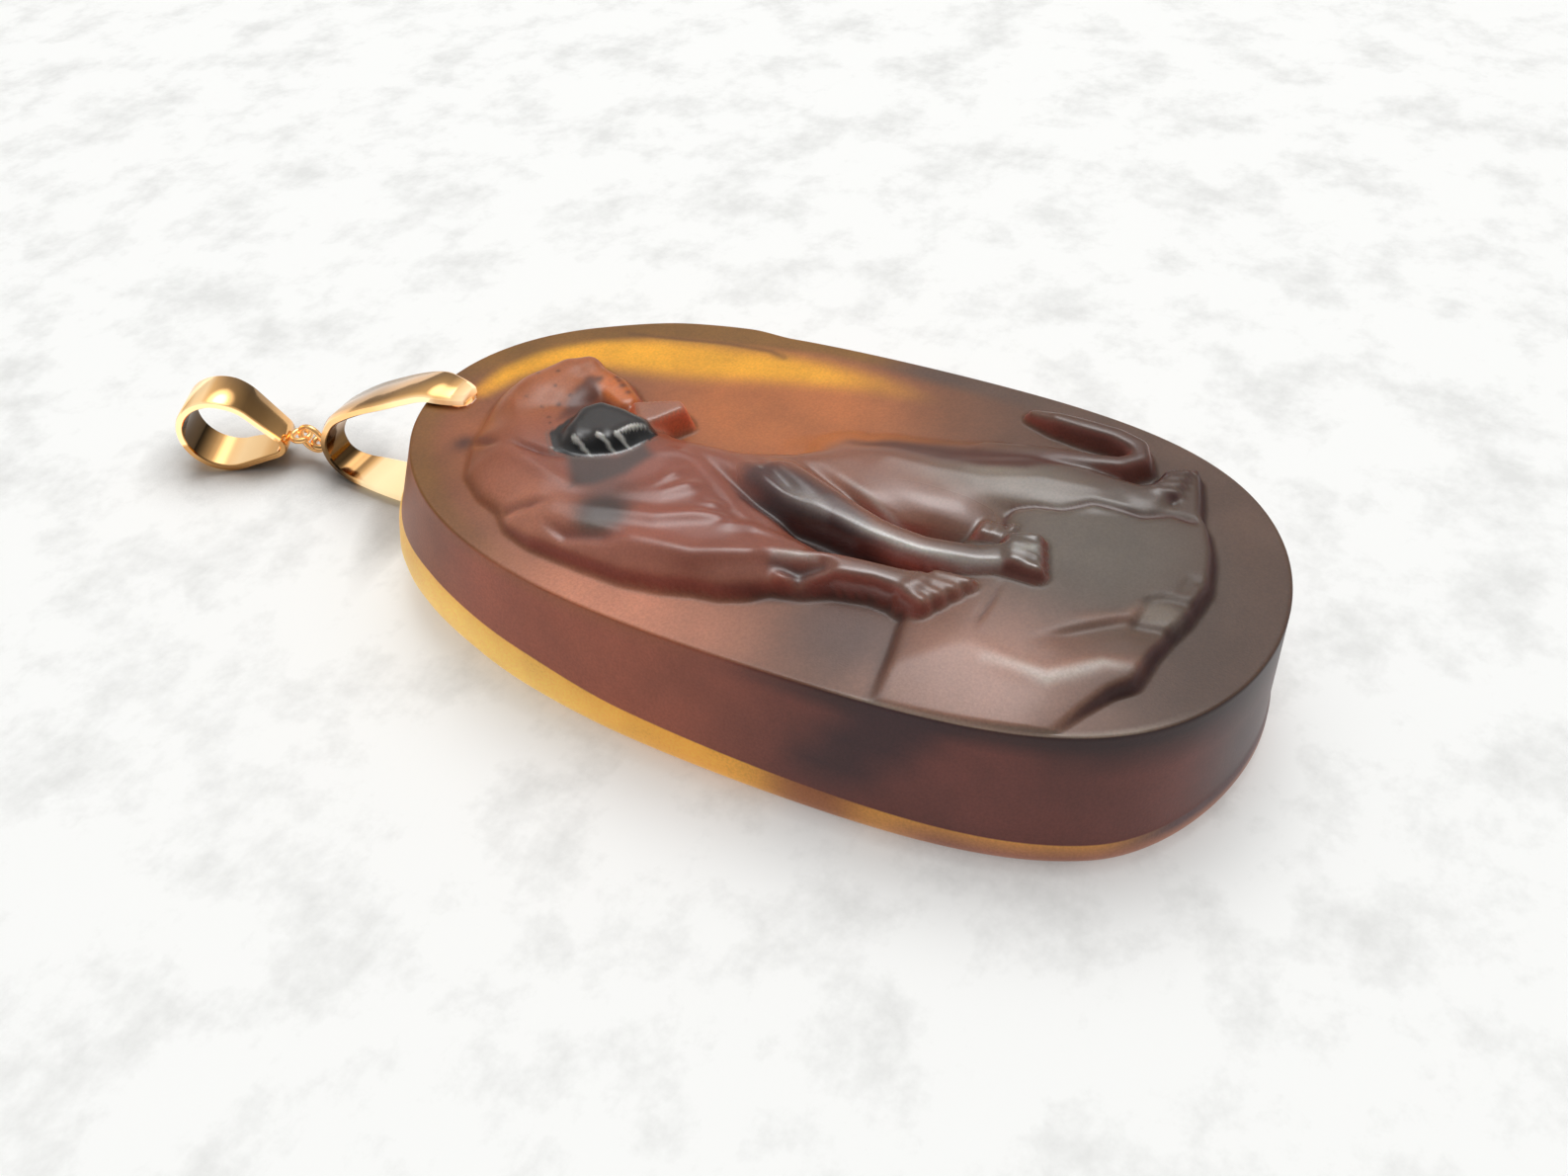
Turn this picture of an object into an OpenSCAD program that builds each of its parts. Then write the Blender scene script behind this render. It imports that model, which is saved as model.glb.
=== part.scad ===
// Carved amber pendant: a lion seated on a rock, in relief on an egg-shaped plaque, with a
// pinch bail, a jump ring and a tapered chain bail. The pendant lies on its back.
// +Z is out of the carved face, +Y towards the bail, and the origin is the middle of the back.

/* [Stone] */
// Length of the carved face
stone_l = 50; // [46:0.5:54]
// Thickness from the back to the face
stone_t = 8.8; // [8.2:0.1:9.4]
// Height of the relief, as a share of the full one
relief_share = 1; // [0.7:0.05:1]
// Cells across the face
cells_across = 52; // [24:2:54]
// Cells along the face
cells_along = 88; // [40:2:90]

/* [Drilled hole] */
// Diameter of the hole for the pins
hole_d = 1.7; // [1.6:0.1:2]
// Place of the hole across the stone
hole_x = -0.6; // [-0.8:0.1:0]
// Place of the hole along the stone, at its full length of 50
hole_y = 23.1; // [23:0.1:23.2]

/* [Pinch bail] */
// Thickness of the strip
strip_t = 0.6; // [0.5:0.05:0.6]
// Greatest width of the leaf
leaf_w = 3.3; // [3:0.1:3.6]
// Diameter of the pins
pin_d = 1.3; // [1.1:0.1:1.3]

/* [Chain bail] */
// Length of the band's loop
band_l = 6.8; // [6.6:0.2:7.2]
// Height of the loop
band_h = 5.6; // [5.2:0.1:6]
// Width of the band at its wide end
band_w = 3.1; // [2.9:0.1:3.4]
// Width of the band at its narrow end
band_tip_w = 2.0; // [1.8:0.1:2.2]
// Thickness of the band
band_t = 0.5; // [0.45:0.05:0.55]
// Swing of the chain bail towards the viewer's left, in degrees
band_swing = 25; // [15:1:27]

/* [Rings] */
// Diameter of the ring wire
wire_d = 0.4; // [0.36:0.02:0.44]
// Middle radius of the two soldered eyes
eye_r = 0.6; // [0.58:0.02:0.62]
// Middle radius of the jump ring
ring_r = 0.9; // [0.88:0.02:0.94]

/* [Hidden] */
BROWN_AMBER = "#8f4f38";
GOLD = "#d8a14f";

// The tables below are written for a face 50 long, and k brings them to the chosen length.
k = stone_l / 50;

// Outline of the face. Half width at a height of c = y / half length, from -1 to 1.
face_half_l = 25;
face_half_w = 13.34;
function fullness(c) = 1 - 0.023 * c + 0.322 * c * c - 0.109 * pow(c, 3) - 0.046 * pow(c, 4);

// Low swelling of the far edge beside the head.
function flake(a, c) = 0.03 * ramp(a, 0, 0.6) * (ramp(c, 0.3, 0.42) - ramp(c, 0.58, 0.78));

// Plan of the figure. Outlines run round in order, as [x, y].
body_outline = [
    [-1, 20.7], [-4.2, 20], [-7, 18.6], [-8.4, 16.7], [-8.9, 15.2], [-10, 14], [-10.6, 12],
    [-10.9, 8.6], [-11, 6.1], [-10.7, 4], [-10.2, 2.4], [-10, 1], [-9.4, -0.3], [-8.6, -1.2],
    [-8.3, -2.8], [-7.5, -4.2], [-5.6, -4.6], [-4.2, -1], [-2, -3], [-1.6, -6.5], [-0.5, -9],
    [2, -10.2], [4.2, -10], [5.2, -7], [4.9, -2.8], [3.6, 0.3], [2, 2.4], [1, 5], [0.7, 9],
    [1.2, 11], [1.4, 13], [1.7, 15], [2.8, 16.2], [5, 15.8], [5.6, 17], [5.3, 18.4],
    [4.4, 19.2], [3, 20.1], [1.3, 20.6]];
mane_outline = [
    [-1, 20.5], [-4.2, 20], [-7, 18.6], [-8.4, 16.7], [-8.9, 15.2], [-10, 14], [-10.6, 12],
    [-10.9, 8.6], [-11, 6.1], [-10.7, 4], [-10.2, 2.4], [-10, 1], [-9.4, -0.3], [-8.6, -1.2],
    [-8.3, -2.8], [-7.4, -3.6], [-6.3, -4.6], [-5.6, -3.4], [-4.9, -1.2], [-4.9, 0.8],
    [-4.1, 2.4], [-2.8, 4], [-1.2, 6.2], [0.2, 8.6], [0.7, 10.4], [0.5, 12], [0.2, 17],
    [0.8, 19.8]];
rump_outline = [
    [1.2, 2.2], [4.4, -0.6], [6, -2.6], [6.9, -5.2], [7.9, -7.6], [8.1, -10.5], [6.5, -11.5],
    [3.5, -10], [0, -4]];
jaw_outline = [
    [-0.8, 11], [1.6, 13], [3.2, 9.8], [2.2, 8.7], [0.2, 9.9]];
cheek_outline = [
    [-3.2, 15.1], [-0.7, 14.9], [0.6, 13.7], [0.5, 11.8], [0.1, 10.2], [-0.4, 9.6], [-1.2, 9.5],
    [-2.2, 9.8], [-3.2, 10.4], [-4, 11.5], [-4.5, 12.8], [-4.5, 14]];
rock_outline = [
    [-14, -8.5], [-10.3, -8.2], [-8.4, -7.9], [-4, -7.6], [-0.3, -9], [1.2, -9.9], [2.3, -10],
    [2.9, -11.2], [3.2, -12.8], [4.4, -13.9], [4.5, -16.5], [5.4, -17.8], [9.2, -18], [9, -18.7],
    [6.8, -19.3], [5.3, -19.6], [4.4, -20.2], [2.6, -20.8], [0.2, -21.2], [-2.2, -20.8],
    [-4, -20.2], [-5.5, -19.8], [-7.6, -19.5], [-8.5, -18.6], [-10, -17.7], [-11.6, -16.9],
    [-14, -15.6]];

// Raised sheets: outline, height, width of the rounded edge, share of the height that is sheer.
SHEET_OUTLINE = 0;
SHEET_H = 1;
SHEET_EDGE = 2;
SHEET_SHEER = 3;
sheets = [
    [body_outline, 1.15, 2.2, 0.3],
    [mane_outline, 1.6, 2.6, 0.26],
    [rump_outline, 0.75, 2.6, 0.05],
    [jaw_outline, 1.5, 0.7, 0.75]];
cheek = [cheek_outline, 2.4, 1.3, 0.5];
sheer_w = 0.6;

// Domes: middle x and y, half length, half width, turn in degrees, height.
domes = [
    [0.4, 18.2, 3.4, 2.5, -10, 1.5],
    [1.4, 16.3, 2.4, 2, 0, 1.35],
    [1.6, -5.2, 3, 6, -14, 1.35],
    [-1.8, 1.2, 2.3, 4.6, -24, 1.6]];

// Limbs: stations of x, y, half width and height, one row of stations for each limb.
muzzle = [[1, 18.2, 2.2, 1.6], [3.2, 17.6, 1.7, 1.55], [4.2, 17, 1.15, 1.4]];
lips = [[3.4, 16.4, 1.5, 1.25], [3, 14.7, 1.4, 1.1], [2.2, 13.3, 1.1, 1]];
far_foreleg = [[-7.2, -1.4, 1.2, 1.5], [-6.4, -3.6, 1.1, 1.55], [-6, -5.8, 1.05, 1.5],
    [-5.9, -7.6, 1.3, 1.5]];
near_foreleg = [[-1.2, 1.6, 2, 1.6], [-2.3, -1.6, 1.7, 1.7], [-3.15, -4.4, 1.35, 1.65],
    [-3.35, -7.2, 1.1, 1.55], [-2.95, -10, 1.05, 1.55], [-2.25, -11.7, 1.35, 1.7]];
haunch = [[2.8, 2, 1.6, 0.1], [2.8, -0.6, 2.9, 0.95], [2.7, -3, 3.7, 1.38],
    [2.7, -5.4, 4.2, 1.45], [3, -8.2, 4.2, 1.4], [4.3, -11, 3.2, 1.3], [4.7, -14, 2.2, 1.15]];
hind_leg = [[3, -7.6, 2.6, 1.3], [4.2, -10.4, 2.7, 1.25], [4.6, -13, 2.5, 1.2],
    [4.9, -15.4, 2, 1.15], [5.2, -16.6, 1.6, 1.1]];
hind_paw = [[5.2, -16.4, 1.4, 1.1], [6.2, -17.2, 1.2, 1.1], [7, -17.5, 0.9, 1.05]];
tail = [[6, -7.6, 1.6, 0.7], [6.8, -9.8, 1.15, 0.9], [7.1, -11.4, 0.95, 1.05],
    [7.2, -13, 0.85, 1.15], [7.6, -14.5, 0.85, 1.15], [8.5, -15.4, 0.85, 1.15],
    [9.5, -15, 0.85, 1.15], [10, -13.6, 0.85, 1.15], [10.1, -11.8, 0.85, 1.15],
    [10.3, -10.2, 0.75, 1.05], [10.6, -8.7, 0.5, 0.7]];
// Each limb with the power of its profile: a high one is flat on top, a low one is a ridge.
limbs = [
    [muzzle, 3],
    [lips, 4],
    [far_foreleg, 5],
    [near_foreleg, 5],
    [haunch, 1.15],
    [hind_leg, 4],
    [hind_paw, 4],
    [tail, 4]];

// Paws: number of toes, first and last root, first and last end, radius and height of a toe.
paws = [
    [4, [-6.7, -7.6], [-5, -8.6], [-7, -8.6], [-4.9, -10.2], 0.7, 1.45],
    [4, [-2.9, -11.8], [-1.2, -11.3], [-2.95, -13.1], [-0.8, -12.4], 0.74, 1.8],
    [3, [-0.9, -9.5], [-0.9, -10.5], [-0.1, -9.6], [0.1, -10.9], 0.5, 1.25],
    [4, [5.9, -16.9], [7.6, -17.1], [6.1, -17.9], [8.1, -18], 0.5, 1.25]];

// Creases, carved along their stations of x, y, half width and depth.
creases = [
    [[-0.6, 7.2, 0.35, 0], [-2.1, 4.4, 0.4, 0.3], [-3.2, 2, 0.45, 0.6], [-3.9, -0.1, 0.5, 0.85],
        [-4.3, -2.6, 0.5, 0.95], [-4.7, -4.8, 0.5, 0.8], [-4.9, -7.2, 0.5, 0.3]],
    [[1, 2.2, 0.5, 0], [0.5, 1.1, 0.5, 0.12], [-0.3, -0.8, 0.45, 0.32], [-1.4, -3.4, 0.38, 0.5],
        [-2.1, -5.6, 0.34, 0.55], [-2.1, -7.2, 0.36, 0.35], [-1.9, -8.8, 0.4, 0]],
    [[-4.2, 20.1, 0.3, 0.3], [-4.4, 19.1, 0.3, 0.32], [-4.6, 18.2, 0.28, 0.24],
        [-4.7, 17.2, 0.25, 0]],
    [[-4.4, 17.2, 0.25, 0], [-4.6, 16, 0.28, 0.22], [-4.75, 14.8, 0.28, 0.28],
        [-4.75, 13.5, 0.25, 0.12]],
    [[-8.9, 14.4, 0.3, 0.25], [-8.5, 12.9, 0.3, 0.28], [-7.9, 11.8, 0.25, 0]],
    [[-9.3, 12.2, 0.35, 0], [-9.7, 10, 0.35, 0.3], [-9.3, 7.9, 0.35, 0.26], [-8.8, 6.6, 0.3, 0]],
    [[-7.2, 0.3, 0.5, 0], [-7.45, -1.1, 0.65, 0.6], [-7.35, -2.2, 0.65, 0.85],
        [-6.8, -3.2, 0.5, 0.5], [-6.3, -3.9, 0.3, 0]],
    [[0.4, 4.8, 0.35, 0], [-0.8, 2.8, 0.4, 0.2], [-2.1, 0.8, 0.4, 0.26], [-2.9, -1, 0.35, 0]]];

// Locks of the mane, raised along their stations of x, y, half width and height.
locks = [
    [[-9.4, 9.4, 0.5, 0], [-9, 5.8, 0.6, 0.2], [-8.8, 3.2, 0.55, 0.26], [-8, 1.4, 0.5, 0.26],
        [-7.3, -0.2, 0.42, 0.2], [-6.9, -1.2, 0.4, 0]],
    [[-8.2, 12.8, 0.6, 0], [-7.8, 9.4, 0.6, 0.16], [-7.1, 6.1, 0.5, 0.26],
        [-6.3, 4.6, 0.45, 0.28], [-5.7, 3.1, 0.4, 0.22], [-5.5, 2.2, 0.35, 0.05]],
    [[-6.2, 9.2, 0.5, 0], [-5.2, 6.7, 0.5, 0.2], [-4.2, 5.7, 0.42, 0.26], [-3.4, 5.2, 0.4, 0.05]],
    [[-5.8, 8.6, 0.45, 0], [-4.9, 7.3, 0.45, 0.2], [-3.7, 6.9, 0.4, 0.24], [-2.6, 6.6, 0.4, 0.03]],
    [[-5.2, 4.9, 0.35, 0], [-4.9, 3.8, 0.4, 0.24], [-4.6, 2.9, 0.35, 0.06]],
    [[-6.4, 3.2, 0.35, 0], [-6, 2.3, 0.4, 0.24], [-5.4, 1.2, 0.4, 0.28], [-5.3, -0.4, 0.4, 0.2],
        [-5.7, -2.4, 0.4, 0.2], [-6.2, -4.4, 0.4, 0]],
    [[-2.4, 9, 0.45, 0], [-1.5, 7.7, 0.45, 0.2], [-1.3, 6.2, 0.4, 0.08]],
    [[-0.2, 8.4, 0.35, 0], [-2, 5.6, 0.34, 0.22], [-3.5, 3.7, 0.32, 0.28],
        [-4.5, 2.4, 0.32, 0.26], [-5.1, 0.9, 0.35, 0.1]],
    [[-5.4, 17.6, 0.5, 0], [-5.6, 15.2, 0.55, 0.16], [-6.4, 12.6, 0.5, 0.14], [-7, 10.4, 0.5, 0]]];

// Faces of the rock: a point, its height, and the slopes along x and y. The lowest one counts,
// and rock_soft rounds the edge between two of them.
rock_planes = [
    [-4, -14, 1, 0, 0],
    [-8.8, -13.6, 1, 0.22, 0],
    [-8.6, -17, 0.9, 0.26, 0.16],
    [-6, -8.5, 0.5, 0, -0.2],
    [0, -20.5, 0.92, 0, 0.03]];
rock_soft = 0.06;
rock_edge = 0.5;

// Chipped steps at the foot of the rock, low on the left of each line: points, drop, reach.
steps = [
    [[[-5.6, -15.6], [-4.7, -16.7], [-3.8, -17.8], [-3.8, -18.8], [-3.5, -21.5]], 0.26, 1.2],
    [[[-3.6, -18.2], [-2, -18.4], [-1.5, -19.2], [-1.3, -21.5]], 0.22, 0.9],
    [[[-0.6, -19.7], [0.3, -19.9], [0.4, -21.5]], 0.14, 0.5]];

// Soft crests of the rock: stations of x, y, half width and height.
ridges = [
    [[-8.2, -10.8, 0.6, 0], [-8.7, -12.4, 0.6, 0.04], [-9.1, -13.9, 0.55, 0.07],
        [-9, -15.6, 0.55, 0.08], [-7.6, -17, 0.5, 0.08], [-6.6, -19.1, 0.5, 0.04]],
    [[-5.3, -15, 0.4, 0], [-4.7, -16.3, 0.4, 0.04], [-3.9, -17.8, 0.35, 0.05],
        [-2.9, -18.4, 0.35, 0.04]]];

// Grooves round the top of the rock: stations of x, y, half width and depth.
grooves = [
    [[-7.6, -11.5, 0.09, 0], [-6.6, -11.5, 0.12, 0.14], [-5.6, -11.6, 0.12, 0.14],
        [-4, -11.6, 0.1, 0.1]],
    [[-0.2, -10.6, 0.14, 0.2], [1, -10.2, 0.14, 0.26], [1.8, -10.4, 0.14, 0.26],
        [2.3, -11.4, 0.14, 0.26], [2.6, -12.8, 0.14, 0.24], [3.6, -14.1, 0.14, 0.26],
        [3.7, -15.4, 0.14, 0.22], [3.7, -16.8, 0.16, 0.24], [4.4, -18, 0.16, 0.2],
        [4.4, -19.2, 0.2, 0.24]]];

// Wall and base of the stone, by the place along it. The base rises towards the bail end and
// drops again at the very end. The wall leans out less at the end away from the bail.
function seam_z(y) = 2.92 + 3.61 * (y / 50) + 3.34 * pow(y / 50, 2)
    + 0.38 * ramp(y, 5, 11) - 1.2 * ramp(y, 18, 25);
function ramp(v, from, to) = let(s = max(0, min(1, (v - from) / (to - from)))) s * s * (3 - 2 * s);
function tuck(y) = 0.7 * ramp(-y, 19, 25);
function seam_out(y) = 1.0 + 0.25 * ramp(y, 15, 23) - tuck(y);
function base_out(y) = 1.15 + 0.6 * ramp(y, 15, 23) - tuck(y);
base_widest = 0.6;
base_turn = 2.1;
base_steps = 3;

// Rounded profile: 1 in the middle and 0 at q = 1, with steep sides.
function crown(q, power = 3) = 1 - pow(min(1, q), power);
function seg_share(p, a, b) = max(0, min(1, ((p - a) * (b - a)) / ((b - a) * (b - a))));
function seg_dist(p, a, b) = norm(p - a - seg_share(p, a, b) * (b - a));
function loop_dist(p, pts) = let(n = len(pts))
    min([for (i = [0:n - 1]) seg_dist(p, pts[i], pts[(i + 1) % n])]);
function crossed(p, a, b) = (a[1] > p[1]) != (b[1] > p[1])
    && p[0] < (b[0] - a[0]) * (p[1] - a[1]) / (b[1] - a[1]) + a[0];
function is_in(p, pts) = let(n = len(pts), hits = [for (i = [0:n - 1])
    if (crossed(p, pts[i], pts[(i + 1) % n])) 1]) len(hits) % 2 == 1;
function turned(p, degrees) = [p[0] * cos(degrees) + p[1] * sin(degrees),
    p[1] * cos(degrees) - p[0] * sin(degrees)];
function bell(q) = exp(-q * q);
function mix(a, b, t) = a + (b - a) * t;
function total(v) = v * [for (x = v) 1];

// Heights that overlap blend into one rounded form.
blend_power = 8;
function blend(v) = pow(total([for (h = v) pow(h, blend_power)]), 1 / blend_power);

// The border of a sheet is soft at the top and the back of the head.
function softness(p) = ramp(-p[0], 0, 3) * ramp(p[1], 11, 15.5)
    + ramp(p[0], 0, 2) * ramp(p[1], 16, 17.5);
function edge_rise(d, width, sheer) = ramp(d, 0, sheer_w)
    * (sheer + (1 - sheer) * (1 - pow(1 - min(1, d / width), 2.2)));
function sheet_at(p, s) = is_in(p, s[SHEET_OUTLINE]) ? let(soft = softness(p))
    s[SHEET_H] * edge_rise(loop_dist(p, s[SHEET_OUTLINE]), s[SHEET_EDGE] * (1 + 0.5 * soft),
        s[SHEET_SHEER] * (1 - 0.9 * soft)) : 0;
function oval_share(p, d) = let(q = turned(p - [d[0], d[1]], d[4])) norm([q[0] / d[2], q[1] / d[3]]);
function dome_at(p, d) = d[5] * crown(oval_share(p, d));
function joint_share(p, a, b, t) = norm(p - [mix(a[0], b[0], t), mix(a[1], b[1], t)])
    / mix(a[2], b[2], t);
function limb_joint(p, a, b, power) = let(t = seg_share(p, [a[0], a[1]], [b[0], b[1]]))
    mix(a[3], b[3], t) * crown(joint_share(p, a, b, t), power);
function limb_at(p, l) = let(rows = l[0])
    max([for (i = [0:len(rows) - 2]) limb_joint(p, rows[i], rows[i + 1], l[1])]);
function strand_joint(p, a, b) = let(t = seg_share(p, [a[0], a[1]], [b[0], b[1]]))
    mix(a[3], b[3], t) * bell(joint_share(p, a, b, t));
function strands_at(p, rows) = max([for (r = rows) for (i = [0:len(r) - 2])
    strand_joint(p, r[i], r[i + 1])]);
function toe_at(p, t, i) = let(f = i / (t[0] - 1))
    t[6] * crown(seg_dist(p, mix(t[1], t[2], f), mix(t[3], t[4], f)) / t[5]);
function paw_at(p, t) = max([for (i = [0:t[0] - 1]) toe_at(p, t, i)]);
function mane_share(p) = is_in(p, mane_outline) ? ramp(loop_dist(p, mane_outline), 0, 0.8) : 0;

function body_at(p) = blend(concat([for (s = sheets) sheet_at(p, s)], [for (d = domes) dome_at(p, d)],
    [for (l = limbs) limb_at(p, l)], [for (t = paws) paw_at(p, t)]));
function figure_at(p) = let(b = body_at(p), m = mane_share(p))
    b < 0.05 ? 0 : max(0, sheet_at(p, cheek), b + (m > 0 ? m * strands_at(p, locks) : 0)
        - min(1, b / 0.6) * strands_at(p, creases));

// A step drops at once on the left of the nearest stretch of its line.
function left_of(p, a, b) = let(d = (b - a) / norm(b - a)) (p[0] - a[0]) * d[1] - (p[1] - a[1]) * d[0];
function step_at(p, s) = let(pts = s[0],
    far = [for (i = [0:len(pts) - 2]) seg_dist(p, pts[i], pts[i + 1])], near = min(far),
    i = [for (j = [0:len(far) - 1]) if (far[j] == near) j][0])
    s[1] * ramp(-left_of(p, pts[i], pts[i + 1]), -0.1, 0.35) * bell(near / s[2]);
function plane_at(p, f) = f[2] + f[3] * (p[0] - f[0]) + f[4] * (p[1] - f[1]);
function rock_h(p) = -rock_soft * ln(total([for (f = rock_planes) exp(-plane_at(p, f) / rock_soft)]))
    - total([for (s = steps) step_at(p, s)]) + strands_at(p, ridges);
function rock_at(p) = is_in(p, rock_outline)
    ? max(0, rock_h(p)) * crown(1 - min(1, loop_dist(p, rock_outline) / rock_edge)) : 0;
function relief_at(p) = relief_share
    * (blend([figure_at(p), rock_at(p)]) - strands_at(p, grooves));

// The height of a place is the mean of four samples close to it.
sample_step = 0.14;
samples = [for (x = [-1, 1]) for (y = [-1, 1]) sample_step * [x, y]];
function mean_relief(p) = total([for (s = samples) relief_at(p + s)]) / len(samples);

// Places on the face, from a square of cells drawn into the oval.
function disc_point(u, v) = [u * sqrt(1 - v * v / 2), v * sqrt(1 - u * u / 2)];
function face_point(u, v) = let(d = disc_point(u, v))
    [d[0] * face_half_w * (fullness(d[1]) + flake(d[0], d[1])), d[1] * face_half_l];
function on_rim(i, j) = i == 0 || j == 0 || i == cells_across || j == cells_along;
function face_vertex(i, j) = let(p = face_point(2 * i / cells_across - 1, 2 * j / cells_along - 1))
    [k * p[0], k * p[1], stone_t + (on_rim(i, j) ? 0 : k * mean_relief(p))];

// The rim in order, anticlockwise from above, and the wall's rings below it.
rim_cells = concat(
    [for (i = [0:cells_across - 1]) [i, 0]],
    [for (j = [0:cells_along - 1]) [cells_across, j]],
    [for (i = [cells_across:-1:1]) [i, cells_along]],
    [for (j = [cells_along:-1:1]) [0, j]]);
rim_n = len(rim_cells);
rim = [for (c = rim_cells) face_point(2 * c[0] / cells_across - 1, 2 * c[1] / cells_along - 1)];
function rim_out(i) = let(d = rim[(i + 1) % rim_n] - rim[(i + rim_n - 1) % rim_n])
    [d[1], -d[0]] / norm(d);

// Each ring gives how far it lies out from the rim, and how high.
function base_ring(y, s) = let(a = 90 * s / base_steps)
    [base_out(y) - base_turn * (1 - cos(a)), base_widest * seam_z(y) * (1 - sin(a))];
function ring_place(y, r) = r == 0 ? [seam_out(y), seam_z(y)] : base_ring(y, r - 1);
ring_n = base_steps + 2;
function ring_vertex(r, i) = let(p = rim[i], o = ring_place(p[1], r), q = k * (p + o[0] * rim_out(i)))
    [q[0], q[1], k * o[1]];

function face_index(i, j) = j * (cells_across + 1) + i;
face_n = (cells_across + 1) * (cells_along + 1);
rim_index = [for (c = rim_cells) face_index(c[0], c[1])];
function ring_index(r, i) = r < 0 ? rim_index[i % rim_n] : face_n + r * rim_n + i % rim_n;
back_middle = face_n + ring_n * rim_n;

function stone_points() = concat(
    [for (j = [0:cells_along]) for (i = [0:cells_across]) face_vertex(i, j)],
    [for (r = [0:ring_n - 1]) for (i = [0:rim_n - 1]) ring_vertex(r, i)],
    [[0, 0, 0]]);
function stone_faces() = concat(
    [for (j = [0:cells_along - 1]) for (i = [0:cells_across - 1]) let(a = face_index(i, j),
        b = face_index(i + 1, j), c = face_index(i + 1, j + 1), d = face_index(i, j + 1))
        each (i + j) % 2 == 0 ? [[a, c, b], [a, d, c]] : [[a, d, b], [b, d, c]]],
    [for (r = [-1:ring_n - 2]) for (i = [0:rim_n - 1]) let(a = ring_index(r, i),
        b = ring_index(r, i + 1), c = ring_index(r + 1, i + 1), d = ring_index(r + 1, i))
        each [[a, b, c], [a, c, d]]],
    [for (i = [0:rim_n - 1])
        [ring_index(ring_n - 1, i), ring_index(ring_n - 1, i + 1), back_middle]]);

// Flat seat in the back for the lower prong of the pinch bail.
seat_gap = 0.2;
seat_start_y = 21.6;
prong_gap = 0.07;
module prong_seat() {
    translate([k * hole_x - leaf_w / 2 - seat_gap, k * seat_start_y, -1])
        cube([leaf_w + 2 * seat_gap, 10, 1.05 + strip_t + seat_gap]);
}

module pin_hole() {
    translate([k * hole_x, k * hole_y, -1]) cylinder(h = stone_t + 3, d = hole_d, $fn = 32);
}

module amber_stone() {
    color(BROWN_AMBER) difference() {
        polyhedron(points = stone_points(), faces = stone_faces(), convexity = 8);
        pin_hole();
        prong_seat();
    }
}

// A smooth line through the points, with a number of steps from each point to the next.
function spline_at(a, b, c, d, t) = 0.5 * (2 * b + (c - a) * t
    + (2 * a - 5 * b + 4 * c - d) * t * t + (3 * b - a - 3 * c + d) * pow(t, 3));
function spline(pts, steps) = let(n = len(pts)) concat(
    [for (i = [0:n - 2]) for (s = [0:steps - 1]) spline_at(pts[max(0, i - 1)], pts[i],
        pts[i + 1], pts[min(n - 1, i + 2)], s / steps)],
    [pts[n - 1]]);

// Pinch bail. The strip's middle line in the YZ plane, from the upper tip round to the lower.
tip_y = k * hole_y - 0.7;
rise = stone_t - 8.8;
lower_z = 0.05 + strip_t / 2;
upper_z = stone_t + prong_gap + strip_t / 2;
bend_line = [[tip_y, upper_z], [23.8 * k, upper_z + 0.03], [25.0 * k, upper_z],
    [26.5 * k, 8.6 + rise], [28.5 * k, 7.65 + rise], [30.2 * k, 6.8 + rise / 2],
    [32.0 * k, 5.7 + rise / 3], [33.3 * k, 4.7 + rise / 4], [34.3 * k, 3.4], [34.75 * k, 2.3],
    [34.55 * k, 1.2], [33.9 * k, 0.6], [33.0 * k, lower_z], [32.2 * k, lower_z]];
strip_line = concat(spline(bend_line, 4), [[tip_y, lower_z]]);
strip_n = len(strip_line);
function strip_along(i) = let(a = strip_line[max(0, i - 1)],
    b = strip_line[min(strip_n - 1, i + 1)]) (b - a) / norm(b - a);
function strip_side(i, d) = let(t = strip_along(i)) strip_line[i] + d * [-t[1], t[0]];
strip_outline = concat(
    [for (i = [0:strip_n - 1]) strip_side(i, strip_t / 2)],
    [for (i = [strip_n - 1:-1:0]) strip_side(i, -strip_t / 2)]);

// Leaf plan of both prongs, as half widths along the clip.
leaf_stations = [[tip_y - 0.3, 0], [tip_y - 0.2, 0.45], [tip_y + 0.2, 0.85],
    [tip_y + 1.2, 1.2], [25 * k, 0.44 * leaf_w], [27.5 * k, 0.5 * leaf_w],
    [30 * k, 0.48 * leaf_w], [32.5 * k, 0.4 * leaf_w], [34.3 * k, 0.32 * leaf_w],
    [36 * k, 0.28 * leaf_w]];
leaf_side = spline(leaf_stations, 3);
leaf_plan = concat([for (s = leaf_side) [s[1], s[0]]],
    [for (i = [len(leaf_side) - 1:-1:1]) [-leaf_side[i][1], leaf_side[i][0]]]);

link_z = 1.7;
strip_end_y = 34.75 * k + strip_t / 2;
clip_eye_y = strip_end_y + eye_r + wire_d / 2 - 0.15;
ring_y = clip_eye_y + ring_r;
bail_eye_y = ring_y + ring_r;
pin_reach = 2.6;

module torus(r, d) {
    rotate_extrude($fn = 32) translate([r, 0]) circle(d = d, $fn = 16);
}

module leaf_strip() {
    intersection() {
        rotate([90, 0, 90]) translate([0, 0, -leaf_w])
            linear_extrude(2 * leaf_w) polygon(strip_outline);
        translate([0, 0, -1]) linear_extrude(stone_t + 4) polygon(leaf_plan);
    }
}

module pins() {
    translate([0, k * hole_y, stone_t - 1.6])
        cylinder(h = 1.6 + prong_gap + 0.3 * strip_t, d = pin_d, $fn = 32);
    translate([0, k * hole_y, lower_z])
        cylinder(h = pin_reach - lower_z, d = pin_d, $fn = 32);
}

module pinch_bail() {
    color(GOLD) translate([k * hole_x, 0, 0]) {
        leaf_strip();
        pins();
        translate([0, clip_eye_y, link_z]) torus(eye_r, wire_d);
    }
}

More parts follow.
